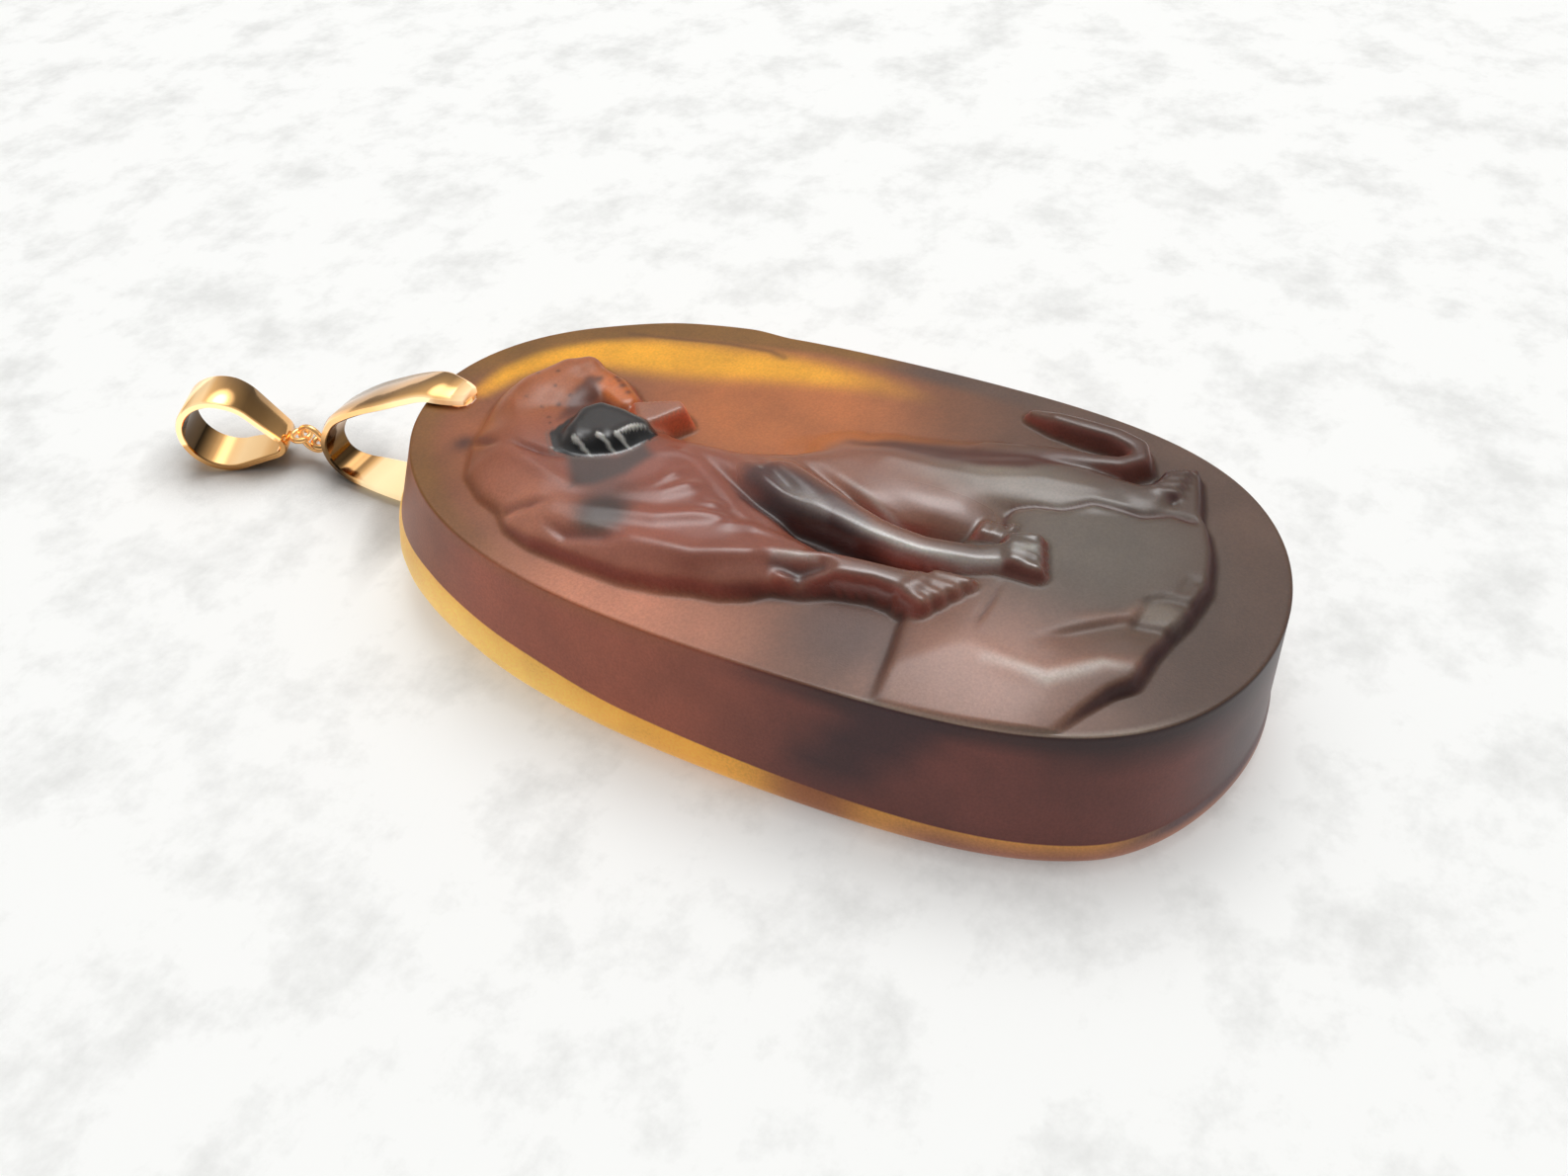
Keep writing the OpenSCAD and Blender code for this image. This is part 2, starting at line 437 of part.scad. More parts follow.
module jump_ring() {
    color(GOLD) translate([k * hole_x, ring_y, link_z]) rotate([0, 90, 0]) torus(ring_r, wire_d);
}

// Chain bail. Its loop is a large and a small circle joined by their tangents. It lies on the
// large circle, and the band is narrower towards the small one.
tip_r = 1.0;
big_r = band_h / 2;
tip_at = [tip_r, link_z];
big_at = [band_l - big_r, big_r];
bail_start = eye_r + wire_d / 2 - 0.1;

function tangent_points(a, ra, b, rb) = let(d = b - a, base = atan2(d[1], d[0]),
    lean = acos((ra - rb) / norm(d))) [
    a + ra * [cos(base + lean), sin(base + lean)],
    b + rb * [cos(base + lean), sin(base + lean)],
    b + rb * [cos(base - lean), sin(base - lean)],
    a + ra * [cos(base - lean), sin(base - lean)]];

module loop_outline(inset) {
    translate(tip_at) circle(r = tip_r - inset, $fn = 48);
    translate(big_at) circle(r = big_r - inset, $fn = 72);
    polygon(tangent_points(tip_at, tip_r - inset, big_at, big_r - inset));
}

module band_loop() {
    rotate([90, 0, 90]) translate([0, 0, -band_w]) linear_extrude(2 * band_w) difference() {
        loop_outline(0);
        loop_outline(band_t);
    }
}

module band_plan() {
    wide_y = 0.45 * band_l;
    polygon([[-band_tip_w / 2, -1], [band_tip_w / 2, -1], [band_w / 2, wide_y],
        [band_w / 2, band_l + 1], [-band_w / 2, band_l + 1], [-band_w / 2, wide_y]]);
}

module chain_bail() {
    color(GOLD) translate([k * hole_x, bail_eye_y, 0]) rotate(band_swing) {
        translate([0, 0, link_z]) torus(eye_r, wire_d);
        translate([0, bail_start, 0]) intersection() {
            band_loop();
            translate([0, 0, -1]) linear_extrude(band_h + 2) band_plan();
        }
    }
}

amber_stone();
pinch_bail();
jump_ring();
chain_bail();
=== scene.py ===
import math

import bpy
import numpy as np
from mathutils import Matrix, Vector


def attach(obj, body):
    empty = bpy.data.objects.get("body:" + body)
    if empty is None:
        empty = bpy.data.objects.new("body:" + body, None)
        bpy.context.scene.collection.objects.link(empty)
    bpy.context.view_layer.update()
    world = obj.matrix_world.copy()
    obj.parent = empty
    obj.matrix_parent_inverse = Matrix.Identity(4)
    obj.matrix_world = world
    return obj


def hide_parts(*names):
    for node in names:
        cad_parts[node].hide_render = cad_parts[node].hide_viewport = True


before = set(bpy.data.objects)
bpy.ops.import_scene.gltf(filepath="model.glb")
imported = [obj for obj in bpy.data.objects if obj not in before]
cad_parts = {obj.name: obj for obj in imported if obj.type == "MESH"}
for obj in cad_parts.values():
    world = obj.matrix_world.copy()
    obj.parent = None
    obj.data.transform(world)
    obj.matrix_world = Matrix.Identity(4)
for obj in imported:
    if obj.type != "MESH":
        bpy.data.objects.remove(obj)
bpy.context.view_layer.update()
MM = 0.001

# ---------------------------------------------------------------- sizes, in millimetres
FACE_Z = 8.8
HALF_L = 25.0
HALF_W = 13.34
HOLE = (-0.6, 23.1)
HOLE_R = 0.85
SEAT = (-2.45, 1.25, 21.6, 31.6, 0.85)  # x from and to, y from and to, depth of the prong's seat
FACE_IN = 0.14  # how far the face ends inside the outline
EDGE_H = 0.1  # height of the worn edge between the face and the wall
BASE_WIDEST = 0.6  # share of the seam's height from which the base rounds in
BASE_TURN = 2.1  # how far it rounds in

# ---------------------------------------------------------------- relief tables, as in the part
BODY = [(-1.0, 20.7), (-4.2, 20.0), (-7.0, 18.6), (-8.4, 16.7), (-8.9, 15.2), (-10.0, 14.0),
        (-10.6, 12.0), (-10.9, 8.6), (-11, 6.1), (-10.7, 4), (-10.2, 2.4), (-10.0, 1.0),
        (-9.4, -0.3), (-8.6, -1.2), (-8.3, -2.8), (-7.5, -4.2), (-5.6, -4.6), (-4.2, -1.0),
        (-2.0, -3.0), (-1.6, -6.5), (-0.5, -9.0), (2.0, -10.2), (4.2, -10.0), (5.2, -7),
        (4.9, -2.8), (3.6, 0.3), (2.0, 2.4), (1.0, 5.0), (0.7, 9.0), (1.2, 11), (1.4, 13),
        (1.7, 15.0), (2.8, 16.2), (5.0, 15.8), (5.6, 17.0), (5.3, 18.4), (4.4, 19.2),
        (3.0, 20.1), (1.3, 20.6)]
MANE = [(-1.0, 20.5), (-4.2, 20.0), (-7.0, 18.6), (-8.4, 16.7), (-8.9, 15.2), (-10.0, 14.0),
        (-10.6, 12.0), (-10.9, 8.6), (-11, 6.1), (-10.7, 4), (-10.2, 2.4), (-10.0, 1.0),
        (-9.4, -0.3), (-8.6, -1.2), (-8.3, -2.8), (-7.4, -3.6), (-6.3, -4.6), (-5.6, -3.4),
        (-4.9, -1.2), (-4.9, 0.8), (-4.1, 2.4), (-2.8, 4.0), (-1.2, 6.2), (0.2, 8.6),
        (0.7, 10.4), (0.5, 12), (0.2, 17), (0.8, 19.8)]
RUMP = [(1.2, 2.2), (4.4, -0.6), (6.0, -2.6), (6.9, -5.2), (7.9, -7.6), (8.1, -10.5),
        (6.5, -11.5), (3.5, -10.0), (0, -4)]
JAW = [(-0.8, 11.0), (1.6, 13.0), (3.2, 9.8), (2.2, 8.7), (0.2, 9.9)]
CHEEK = [(-3.2, 15.1), (-0.7, 14.9), (0.6, 13.7), (0.5, 11.8), (0.1, 10.2), (-0.4, 9.6),
         (-1.2, 9.5), (-2.2, 9.8), (-3.2, 10.4), (-4.0, 11.5), (-4.5, 12.8), (-4.5, 14.0)]
# outline, height, width of the rounded edge, share of the height that is sheer
SHEETS = [(BODY, 1.15, 2.2, 0.3), (MANE, 1.6, 2.6, 0.26), (RUMP, 0.75, 2.6, 0.05),
          (JAW, 1.5, 0.7, 0.75)]
CHEEK_FORM = (CHEEK, 2.4, 1.3, 0.5)
SHEER_W = 0.35  # narrower than in the part, whose cells are larger
# middle x and y, half length, half width, turn, height
DOMES = [(0.4, 18.2, 3.4, 2.5, -10, 1.5), (1.6, -5.2, 3.0, 6.0, -14, 1.35),
         (-1.8, 1.2, 2.3, 4.6, -24, 1.6), (1.4, 16.3, 2.4, 2.0, 0, 1.35)]
# power of the profile, then stations of x, y, half width, height
LIMBS = [
    (3, [(1.0, 18.2, 2.2, 1.6), (3.2, 17.6, 1.7, 1.55), (4.2, 17.0, 1.15, 1.4)]),
    (4, [(3.4, 16.4, 1.5, 1.25), (3.0, 14.7, 1.4, 1.1), (2.2, 13.3, 1.1, 1.0)]),
    (5, [(-7.2, -1.4, 1.2, 1.5), (-6.4, -3.6, 1.1, 1.55), (-6.0, -5.8, 1.05, 1.5),
         (-5.9, -7.6, 1.3, 1.5)]),
    (5, [(-1.2, 1.6, 2.0, 1.6), (-2.3, -1.6, 1.7, 1.7), (-3.15, -4.4, 1.35, 1.65),
         (-3.35, -7.2, 1.1, 1.55), (-2.95, -10.0, 1.05, 1.55), (-2.25, -11.7, 1.35, 1.7)]),
    (1.15, [(2.8, 2.0, 1.6, 0.1), (2.8, -0.6, 2.9, 0.95), (2.7, -3.0, 3.7, 1.38),
            (2.7, -5.4, 4.2, 1.45), (3.0, -8.2, 4.2, 1.4), (4.3, -11.0, 3.2, 1.3),
            (4.7, -14.0, 2.2, 1.15)]),
    (4, [(3.0, -7.6, 2.6, 1.3), (4.2, -10.4, 2.7, 1.25), (4.6, -13.0, 2.5, 1.2),
         (4.9, -15.4, 2.0, 1.15), (5.2, -16.6, 1.6, 1.1)]),
    (4, [(5.2, -16.4, 1.4, 1.1), (6.2, -17.2, 1.2, 1.1), (7.0, -17.5, 0.9, 1.05)]),
    (4, [(6.0, -7.6, 1.6, 0.7), (6.8, -9.8, 1.15, 0.9), (7.1, -11.4, 0.95, 1.05),
         (7.2, -13.0, 0.85, 1.15), (7.6, -14.5, 0.85, 1.15), (8.5, -15.4, 0.85, 1.15),
         (9.5, -15.0, 0.85, 1.15), (10.0, -13.6, 0.85, 1.15), (10.1, -11.8, 0.85, 1.15),
         (10.3, -10.2, 0.75, 1.05), (10.6, -8.7, 0.5, 0.7)])]
# number of toes, first and last root, first and last end, radius, height
PAWS = [(4, (-6.7, -7.6), (-5.0, -8.6), (-7.0, -8.6), (-4.9, -10.2), 0.7, 1.45),
        (4, (-2.9, -11.8), (-1.2, -11.3), (-2.95, -13.1), (-0.8, -12.4), 0.74, 1.8),
        (3, (-0.9, -9.5), (-0.9, -10.5), (-0.1, -9.6), (0.1, -10.9), 0.5, 1.25),
        (4, (5.9, -16.9), (7.6, -17.1), (6.1, -17.9), (8.1, -18.0), 0.5, 1.25)]
# carved lines, and below them raised ones: stations of x, y, half width, depth or height
CREASES = [
    [(-0.6, 7.2, .35, 0), (-2.1, 4.4, .4, .3), (-3.2, 2.0, .45, .6), (-3.9, -.1, .5, .85),
     (-4.3, -2.6, .5, .95), (-4.7, -4.8, .5, .8), (-4.9, -7.2, .5, .3)],
    [(1.0, 2.2, .5, 0), (.5, 1.1, .5, .12), (-.3, -.8, .45, .32), (-1.4, -3.4, .38, .5),
     (-2.1, -5.6, .34, .55), (-2.1, -7.2, .36, .35), (-1.9, -8.8, .4, 0)],
    [(-4.2, 20.1, .3, .3), (-4.4, 19.1, .3, .32), (-4.6, 18.2, .28, .24), (-4.7, 17.2, .25, 0)],
    [(-4.4, 17.2, .25, 0), (-4.6, 16.0, .28, .22), (-4.75, 14.8, .28, .28),
     (-4.75, 13.5, .25, .12)],
    [(-8.9, 14.4, .3, .25), (-8.5, 12.9, .3, .28), (-7.9, 11.8, .25, 0)],
    [(-9.3, 12.2, .35, 0), (-9.7, 10.0, .35, .3), (-9.3, 7.9, .35, .26), (-8.8, 6.6, .3, 0)],
    [(-7.2, .3, .5, 0), (-7.45, -1.1, .65, .6), (-7.35, -2.2, .65, .85),
     (-6.8, -3.2, .5, .5), (-6.3, -3.9, .3, 0)],
    [(.4, 4.8, .35, 0), (-.8, 2.8, .4, .2), (-2.1, .8, .4, .26), (-2.9, -1.0, .35, 0)]]
LOCKS = [
    [(-9.4, 9.4, .5, 0), (-9.0, 5.8, .6, .2), (-8.8, 3.2, .55, .26), (-8.0, 1.4, .5, .26),
     (-7.3, -.2, .42, .2), (-6.9, -1.2, .4, 0)],
    [(-8.2, 12.8, .6, 0), (-7.8, 9.4, .6, .16), (-7.1, 6.1, .5, .26), (-6.3, 4.6, .45, .28),
     (-5.7, 3.1, .4, .22), (-5.5, 2.2, .35, .05)],
    [(-6.2, 9.2, .5, 0), (-5.2, 6.7, .5, .2), (-4.2, 5.7, .42, .26), (-3.4, 5.2, .4, .05)],
    [(-5.8, 8.6, .45, 0), (-4.9, 7.3, .45, .2), (-3.7, 6.9, .4, .24), (-2.6, 6.6, .4, .03)],
    [(-5.2, 4.9, .35, 0), (-4.9, 3.8, .4, .24), (-4.6, 2.9, .35, .06)],
    [(-6.4, 3.2, .35, 0), (-6.0, 2.3, .4, .24), (-5.4, 1.2, .4, .28), (-5.3, -.4, .4, .2),
     (-5.7, -2.4, .4, .2), (-6.2, -4.4, .4, 0)],
    [(-2.4, 9.0, .45, 0), (-1.5, 7.7, .45, .2), (-1.3, 6.2, .4, .08)],
    [(-.2, 8.4, .35, 0), (-2.0, 5.6, .34, .22), (-3.5, 3.7, .32, .28), (-4.5, 2.4, .32, .26),
     (-5.1, .9, .35, .1)],
    [(-5.4, 17.6, .5, 0), (-5.6, 15.2, .55, .16), (-6.4, 12.6, .5, .14), (-7.0, 10.4, .5, 0)]]
ROCK = [(-14, -8.5), (-10.3, -8.2), (-8.4, -7.9), (-4, -7.6), (-0.3, -9.0), (1.2, -9.9),
        (2.3, -10.0), (2.9, -11.2), (3.2, -12.8), (4.4, -13.9), (4.5, -16.5), (5.4, -17.8),
        (9.2, -18.0), (9.0, -18.7), (6.8, -19.3), (5.3, -19.6), (4.4, -20.2), (2.6, -20.8),
        (0.2, -21.2), (-2.2, -20.8), (-4, -20.2), (-5.5, -19.8), (-7.6, -19.5), (-8.5, -18.6),
        (-10.0, -17.7), (-11.6, -16.9), (-14, -15.6)]
# a point of each face of the rock, its height, its slopes along x and y
PLANES = [(-4, -14, 1.0, 0, 0), (-8.8, -13.6, 1.0, 0.22, 0), (-8.6, -17, 0.9, 0.26, 0.16),
          (-6, -8.5, 0.5, 0, -0.2), (0, -20.5, 0.92, 0, 0.03)]
ROCK_SOFT = 0.06
ROCK_EDGE = 0.5
# chipped steps at the foot of the rock, low on the left of each line: points, drop, width
STEPS = [([(-5.6, -15.6), (-4.7, -16.7), (-3.8, -17.8), (-3.8, -18.8), (-3.5, -21.5)], .26, 1.2),
         ([(-3.6, -18.2), (-2.0, -18.4), (-1.5, -19.2), (-1.3, -21.5)], .22, 0.9),
         ([(-0.6, -19.7), (0.3, -19.9), (0.4, -21.5)], .14, 0.5)]
GROOVES = [[(-7.6, -11.5, .09, 0), (-6.6, -11.5, .12, .14), (-5.6, -11.6, .12, .14),
            (-4.0, -11.6, .1, .1)],
           [(-.2, -10.6, .14, .2), (1.0, -10.2, .14, .26), (1.8, -10.4, .14, .26),
            (2.3, -11.4, .14, .26), (2.6, -12.8, .14, .24), (3.6, -14.1, .14, .26),
            (3.7, -15.4, .14, .22), (3.7, -16.8, .16, .24), (4.4, -18.0, .16, .2),
            (4.4, -19.2, .2, .24)]]
BLEND = 8
# soft crests of the rock
RIDGES = [[(-8.2, -10.8, .6, 0), (-8.7, -12.4, .6, .04), (-9.1, -13.9, .55, .07),
           (-9.0, -15.6, .55, .08), (-7.6, -17.0, .5, .08), (-6.6, -19.1, .5, .04)],
          [(-5.3, -15.0, .4, 0), (-4.7, -16.3, .4, .04), (-3.9, -17.8, .35, .05),
           (-2.9, -18.4, .35, .04)]]
# where the colour follows the foreleg, and painted shade in the deepest folds and on the far side
# of the haunch
ARM = [[(-0.9, 4.6, .6, .3), (-1.5, 2.8, 1.3, .9), (-2.2, 0.8, 1.7, 1), (-2.8, -1.4, 1.5, 1),
        (-3.4, -3.4, 1.1, .9), (-3.9, -5.4, .7, .4)]]
FOLD_SHADE = [[(-1.4, 5.4, .3, .2), (-3.2, 2.8, .6, .8), (-3.8, 0.3, .75, 1), (-4.1, -2.3, .75, 1),
            (-4.4, -4.6, .6, .9), (-4.7, -6.8, .4, .3)],
           [(-7.4, -0.8, .5, .6), (-7.4, -2.2, .55, .9), (-6.8, -3.2, .45, .6)],
           [(-9.7, 1.4, .4, .3), (-8.9, -0.8, .5, .6), (-8.2, -2.6, .5, .6), (-7.4, -4.0, .4, .4)]]
FAR_SLOPE_SHADE = [[(4.2, -0.2, .9, .6), (4.6, -2.6, 1.2, .9), (4.8, -5.0, 1.4, 1), (5.0, -7.4, 1.4, 1),
              (5.6, -9.6, 1.2, .9), (6.8, -11.6, 1.0, .6)]]
# the bright strip inside the far rim, orange amber partly brightened as painted glow of light
# through the stone, the chipped band of the rim and its inner line, and painted shade along the
# rock's near edge
GLOW = [[(0.6, 22.3, 1.0, .6), (3.0, 21.8, 1.2, .9), (5.2, 20.6, 1.5, 1), (6.8, 18.2, 1.8, 1),
         (7.8, 15.0, 2.2, 1), (8.6, 11.6, 2.2, 1), (9.4, 8.2, 1.9, .95), (10.0, 4.6, 1.6, .8),
         (10.4, 1.0, 1.4, .5), (10.2, -3.4, 1.2, .15)]]
CHIP = [[(8.2, 19.4, .6, .6), (10.3, 16.6, .9, .9), (11.4, 13.4, 1.1, 1), (12.0, 10.2, 1.0, 1),
         (12.2, 7.6, .8, .8), (12.8, 5.0, .8, .5)]]
CHIP_LINE = [[(9.4, 17.2, .2, .6), (10.0, 14.4, .2, .9), (10.8, 11.0, .2, .9), (11.1, 8.2, .25, 1),
              (10.8, 7.2, .3, .8)]]
ROCK_FOOT_SHADE = [[(-8.2, -7.8, .4, .8), (-9.6, -8.0, .45, .9), (-11.4, -8.25, .45, .9),
              (-13.6, -8.6, .4, .8)]]
# the cheek's outer rim, and the raised strokes on it
CHEEK_RIM = [(-4.4, 14.4), (-3.7, 13.0), (-3.1, 11.8), (-2.5, 11.0), (-1.8, 10.5), (-0.6, 9.8)]
STROKES = [[(-4.2, 14.3, .15, .14), (-4.5, 13.4, .13, .1)],
           [(-3.6, 13.1, .2, .2), (-4.1, 11.55, .15, .12)],
           [(-3.0, 11.9, .2, .2), (-3.35, 10.45, .15, .12)],
           [(-2.5, 11.0, .2, .2), (-2.65, 9.95, .15, .12)],
           [(-2.4, 10.95, .18, .14), (-1.7, 10.55, .22, .18), (-1.0, 10.05, .2, .14)]]
# painted highlights where polished places catch the light
SHINE = [[(-3.0, -2.4, .3, .3), (-3.5, -4.2, .32, .7), (-3.85, -6.2, .28, 1), (-3.8, -7.8, .26, 1),
          (-3.65, -9.7, .24, .9), (-3.2, -11.2, .22, .6)],
         [(-6.9, -0.7, .25, .4), (-6.5, -1.8, .25, .7), (-6.4, -2.7, .2, .3)],
         [(-2.2, -11.8, .3, .7), (-1.8, -12.5, .3, .7)],
         [(-9.1, -12.6, .35, .3), (-9.0, -13.9, .35, .4), (-9.2, -15.6, .4, .7),
          (-8.5, -16.5, .4, .6), (-7.3, -17.7, .3, .6), (-7.0, -18.9, .25, .2)],
         [(-1.6, 1.6, .4, .15), (-2.4, .4, .5, .35), (-2.8, -1.0, .5, .4), (-3.1, -1.8, .4, .3)],
         [(.4, -1.1, .16, .2), (-.5, -3.2, .18, .4), (-1.45, -5.1, .18, .4), (-1.9, -6.3, .16, .2)]]
# the painted shade of the back's far side, the haze behind the muzzle, and pits as x, y, radius
BACK_SHADE = [[(3.4, -1.4, .7, .4), (3.6, -3.2, .9, .7), (3.6, -4.8, .9, .7), (3.3, -6.6, .7, .4)]]
HAZE_PATH = [[(-1.6, 15.3, .6, .5), (0.2, 15.2, .9, 1), (1.6, 15.4, .9, 1), (2.7, 15.9, .6, .7)]]
PITS = [(3.0, 15.5, .3), (3.7, 14.7, .25), (3.1, 14.0, .28), (2.7, 13.4, .22), (3.4, 14.4, .2),
        (0.7, 16.1, .16), (-0.2, 16.3, .2), (2.2, 17.8, .16), (-1.7, 16.0, .14), (0.9, 17.2, .14),
        (-0.9, 17.0, .12), (1.6, 18.8, .15), (-0.6, 18.2, .1), (-2.2, 15.6, .12)]


def ramp(v, a, b):
    t = np.clip((v - a) / (b - a), 0, 1)
    return t * t * (3 - 2 * t)


def crown(q, power=3.0):
    return 1 - np.clip(q, 0, 1) ** power


def seg(x, y, a, b):
    dx, dy = b[0] - a[0], b[1] - a[1]
    t = np.clip(((x - a[0]) * dx + (y - a[1]) * dy) / max(dx * dx + dy * dy, 1e-9), 0, 1)
    return np.hypot(x - a[0] - t * dx, y - a[1] - t * dy), t


def depth(x, y, pts):
    """Distance inside an outline, negative outside it."""
    inside = np.zeros(x.shape, bool)
    d = np.full(x.shape, 1e9)
    for a, b in zip(pts, pts[1:] + pts[:1]):
        if a[1] != b[1]:
            cross = (b[0] - a[0]) * (y - a[1]) / (b[1] - a[1]) + a[0]
            inside ^= ((a[1] > y) != (b[1] > y)) & (x < cross)
        d = np.minimum(d, seg(x, y, a, b)[0])
    return np.where(inside, d, -d)


def step(x, y, s):
    """A ledge: nothing on the right of the line, the full drop at once on its left."""
    pts, drop, width = s
    best, side = np.full(x.shape, 1e9), np.zeros(x.shape)
    for a, b in zip(pts[:-1], pts[1:]):
        d = seg(x, y, a, b)[0]
        cross = (b[0] - a[0]) * (y - a[1]) - (b[1] - a[1]) * (x - a[0])
        cross = cross / math.hypot(b[0] - a[0], b[1] - a[1])
        near = d < best
        best, side = np.where(near, d, best), np.where(near, -cross, side)
    return -drop * ramp(side, -0.1, 0.35) * np.exp(-(best / width) ** 2)


def sheet(x, y, s):
    """A raised sheet. Its border is soft at the top and the back of the head."""
    pts, h, w, sheer = s
    soft = ramp(-x, 0, 3) * ramp(y, 11, 15.5) + ramp(x, 0, 2) * ramp(y, 16, 17.5)
    w, sheer = w * (1 + 0.5 * soft), sheer * (1 - 0.9 * soft)
    d = depth(x, y, pts)
    curve = np.where(d > 0, 1 - (1 - np.clip(d / w, 0, 1)) ** 2.2, 0)
    return h * ramp(d, 0, SHEER_W) * (sheer + (1 - sheer) * curve)


def oval(x, y, c):
    a = math.radians(c[4])
    u = (x - c[0]) * math.cos(a) + (y - c[1]) * math.sin(a)
    v = (y - c[1]) * math.cos(a) - (x - c[0]) * math.sin(a)
    return np.hypot(u / c[2], v / c[3])


def along(x, y, stations, profile):
    """The highest of the profiles swept between stations of x, y, half width and height."""
    z = 0
    for a, b in zip(stations[:-1], stations[1:]):
        d, t = seg(x, y, a, b)
        z = np.maximum(z, (a[3] + (b[3] - a[3]) * t) * profile(d / (a[2] + (b[2] - a[2]) * t)))
    return z


def limb(x, y, power, stations):
    return along(x, y, stations, lambda q: crown(q, power))


def strands(x, y, rows):
    return np.max([along(x, y, r, lambda q: np.exp(-q * q)) for r in rows], 0)


def paw(x, y, p):
    n, r0, r1, e0, e1, r, h = p
    z = 0
    for i in range(n):
        f = i / (n - 1)
        a = [r0[j] + (r1[j] - r0[j]) * f for j in (0, 1)]
        b = [e0[j] + (e1[j] - e0[j]) * f for j in (0, 1)]
        z = np.maximum(z, h * (1 - np.clip(seg(x, y, a, b)[0] / r, 0, 1) ** 3))
    return z


def figure(x, y):
    forms = [sheet(x, y, s) for s in SHEETS]
    forms += [c[5] * crown(oval(x, y, c)) for c in DOMES]
    forms += [limb(x, y, *c) for c in LIMBS] + [paw(x, y, p) for p in PAWS]
    body = sum(f ** BLEND for f in forms) ** (1 / BLEND)
    share = np.clip(body / 0.6, 0, 1)
    body = body + ramp(depth(x, y, MANE), 0, 0.8) * strands(x, y, LOCKS)
    body = body - share * strands(x, y, CREASES)
    cheek = sheet(x, y, CHEEK_FORM)
    cheek = cheek + np.clip(cheek, 0, 1) * strands(x, y, STROKES)
    return np.maximum(np.maximum(body, 0), cheek)


def rock(x, y):
    d = depth(x, y, ROCK)
    rows = [h + gx * (x - a) + gy * (y - b) for a, b, h, gx, gy in PLANES]
    r = -ROCK_SOFT * np.log(sum(np.exp(-h / ROCK_SOFT) for h in rows))
    r = r + sum(step(x, y, s) for s in STEPS) + strands(x, y, RIDGES)
    return np.maximum(r, 0) * np.where(d > 0, crown(1 - d / ROCK_EDGE), 0)


# ---------------------------------------------------------------- the stone's outline and wall
def fullness(c):
    return 1 - 0.023 * c + 0.322 * c * c - 0.109 * c ** 3 - 0.046 * c ** 4


def flake(a, c):
    """A low swelling of the far edge beside the head."""
    return 0.03 * ramp(a, 0, 0.6) * (ramp(c, 0.3, 0.42) - ramp(c, 0.58, 0.78))


def disc(u, v):
    return u * np.sqrt(1 - v * v / 2), v * np.sqrt(1 - u * u / 2)


def seam_z(y):
    return (2.92 + 3.61 * (y / 50) + 3.34 * (y / 50) ** 2
            + 0.38 * ramp(y, 5, 11) - 1.2 * ramp(y, 18, 25))


def tuck(y):
    """The wall leans out less at the end away from the bail."""
    return 0.7 * ramp(-y, 19, 25)


def seam_out(y):
    return 1.0 + 0.25 * ramp(y, 15, 23) - tuck(y)


def base_out(y):
    return 1.15 + 0.6 * ramp(y, 15, 23) - tuck(y)


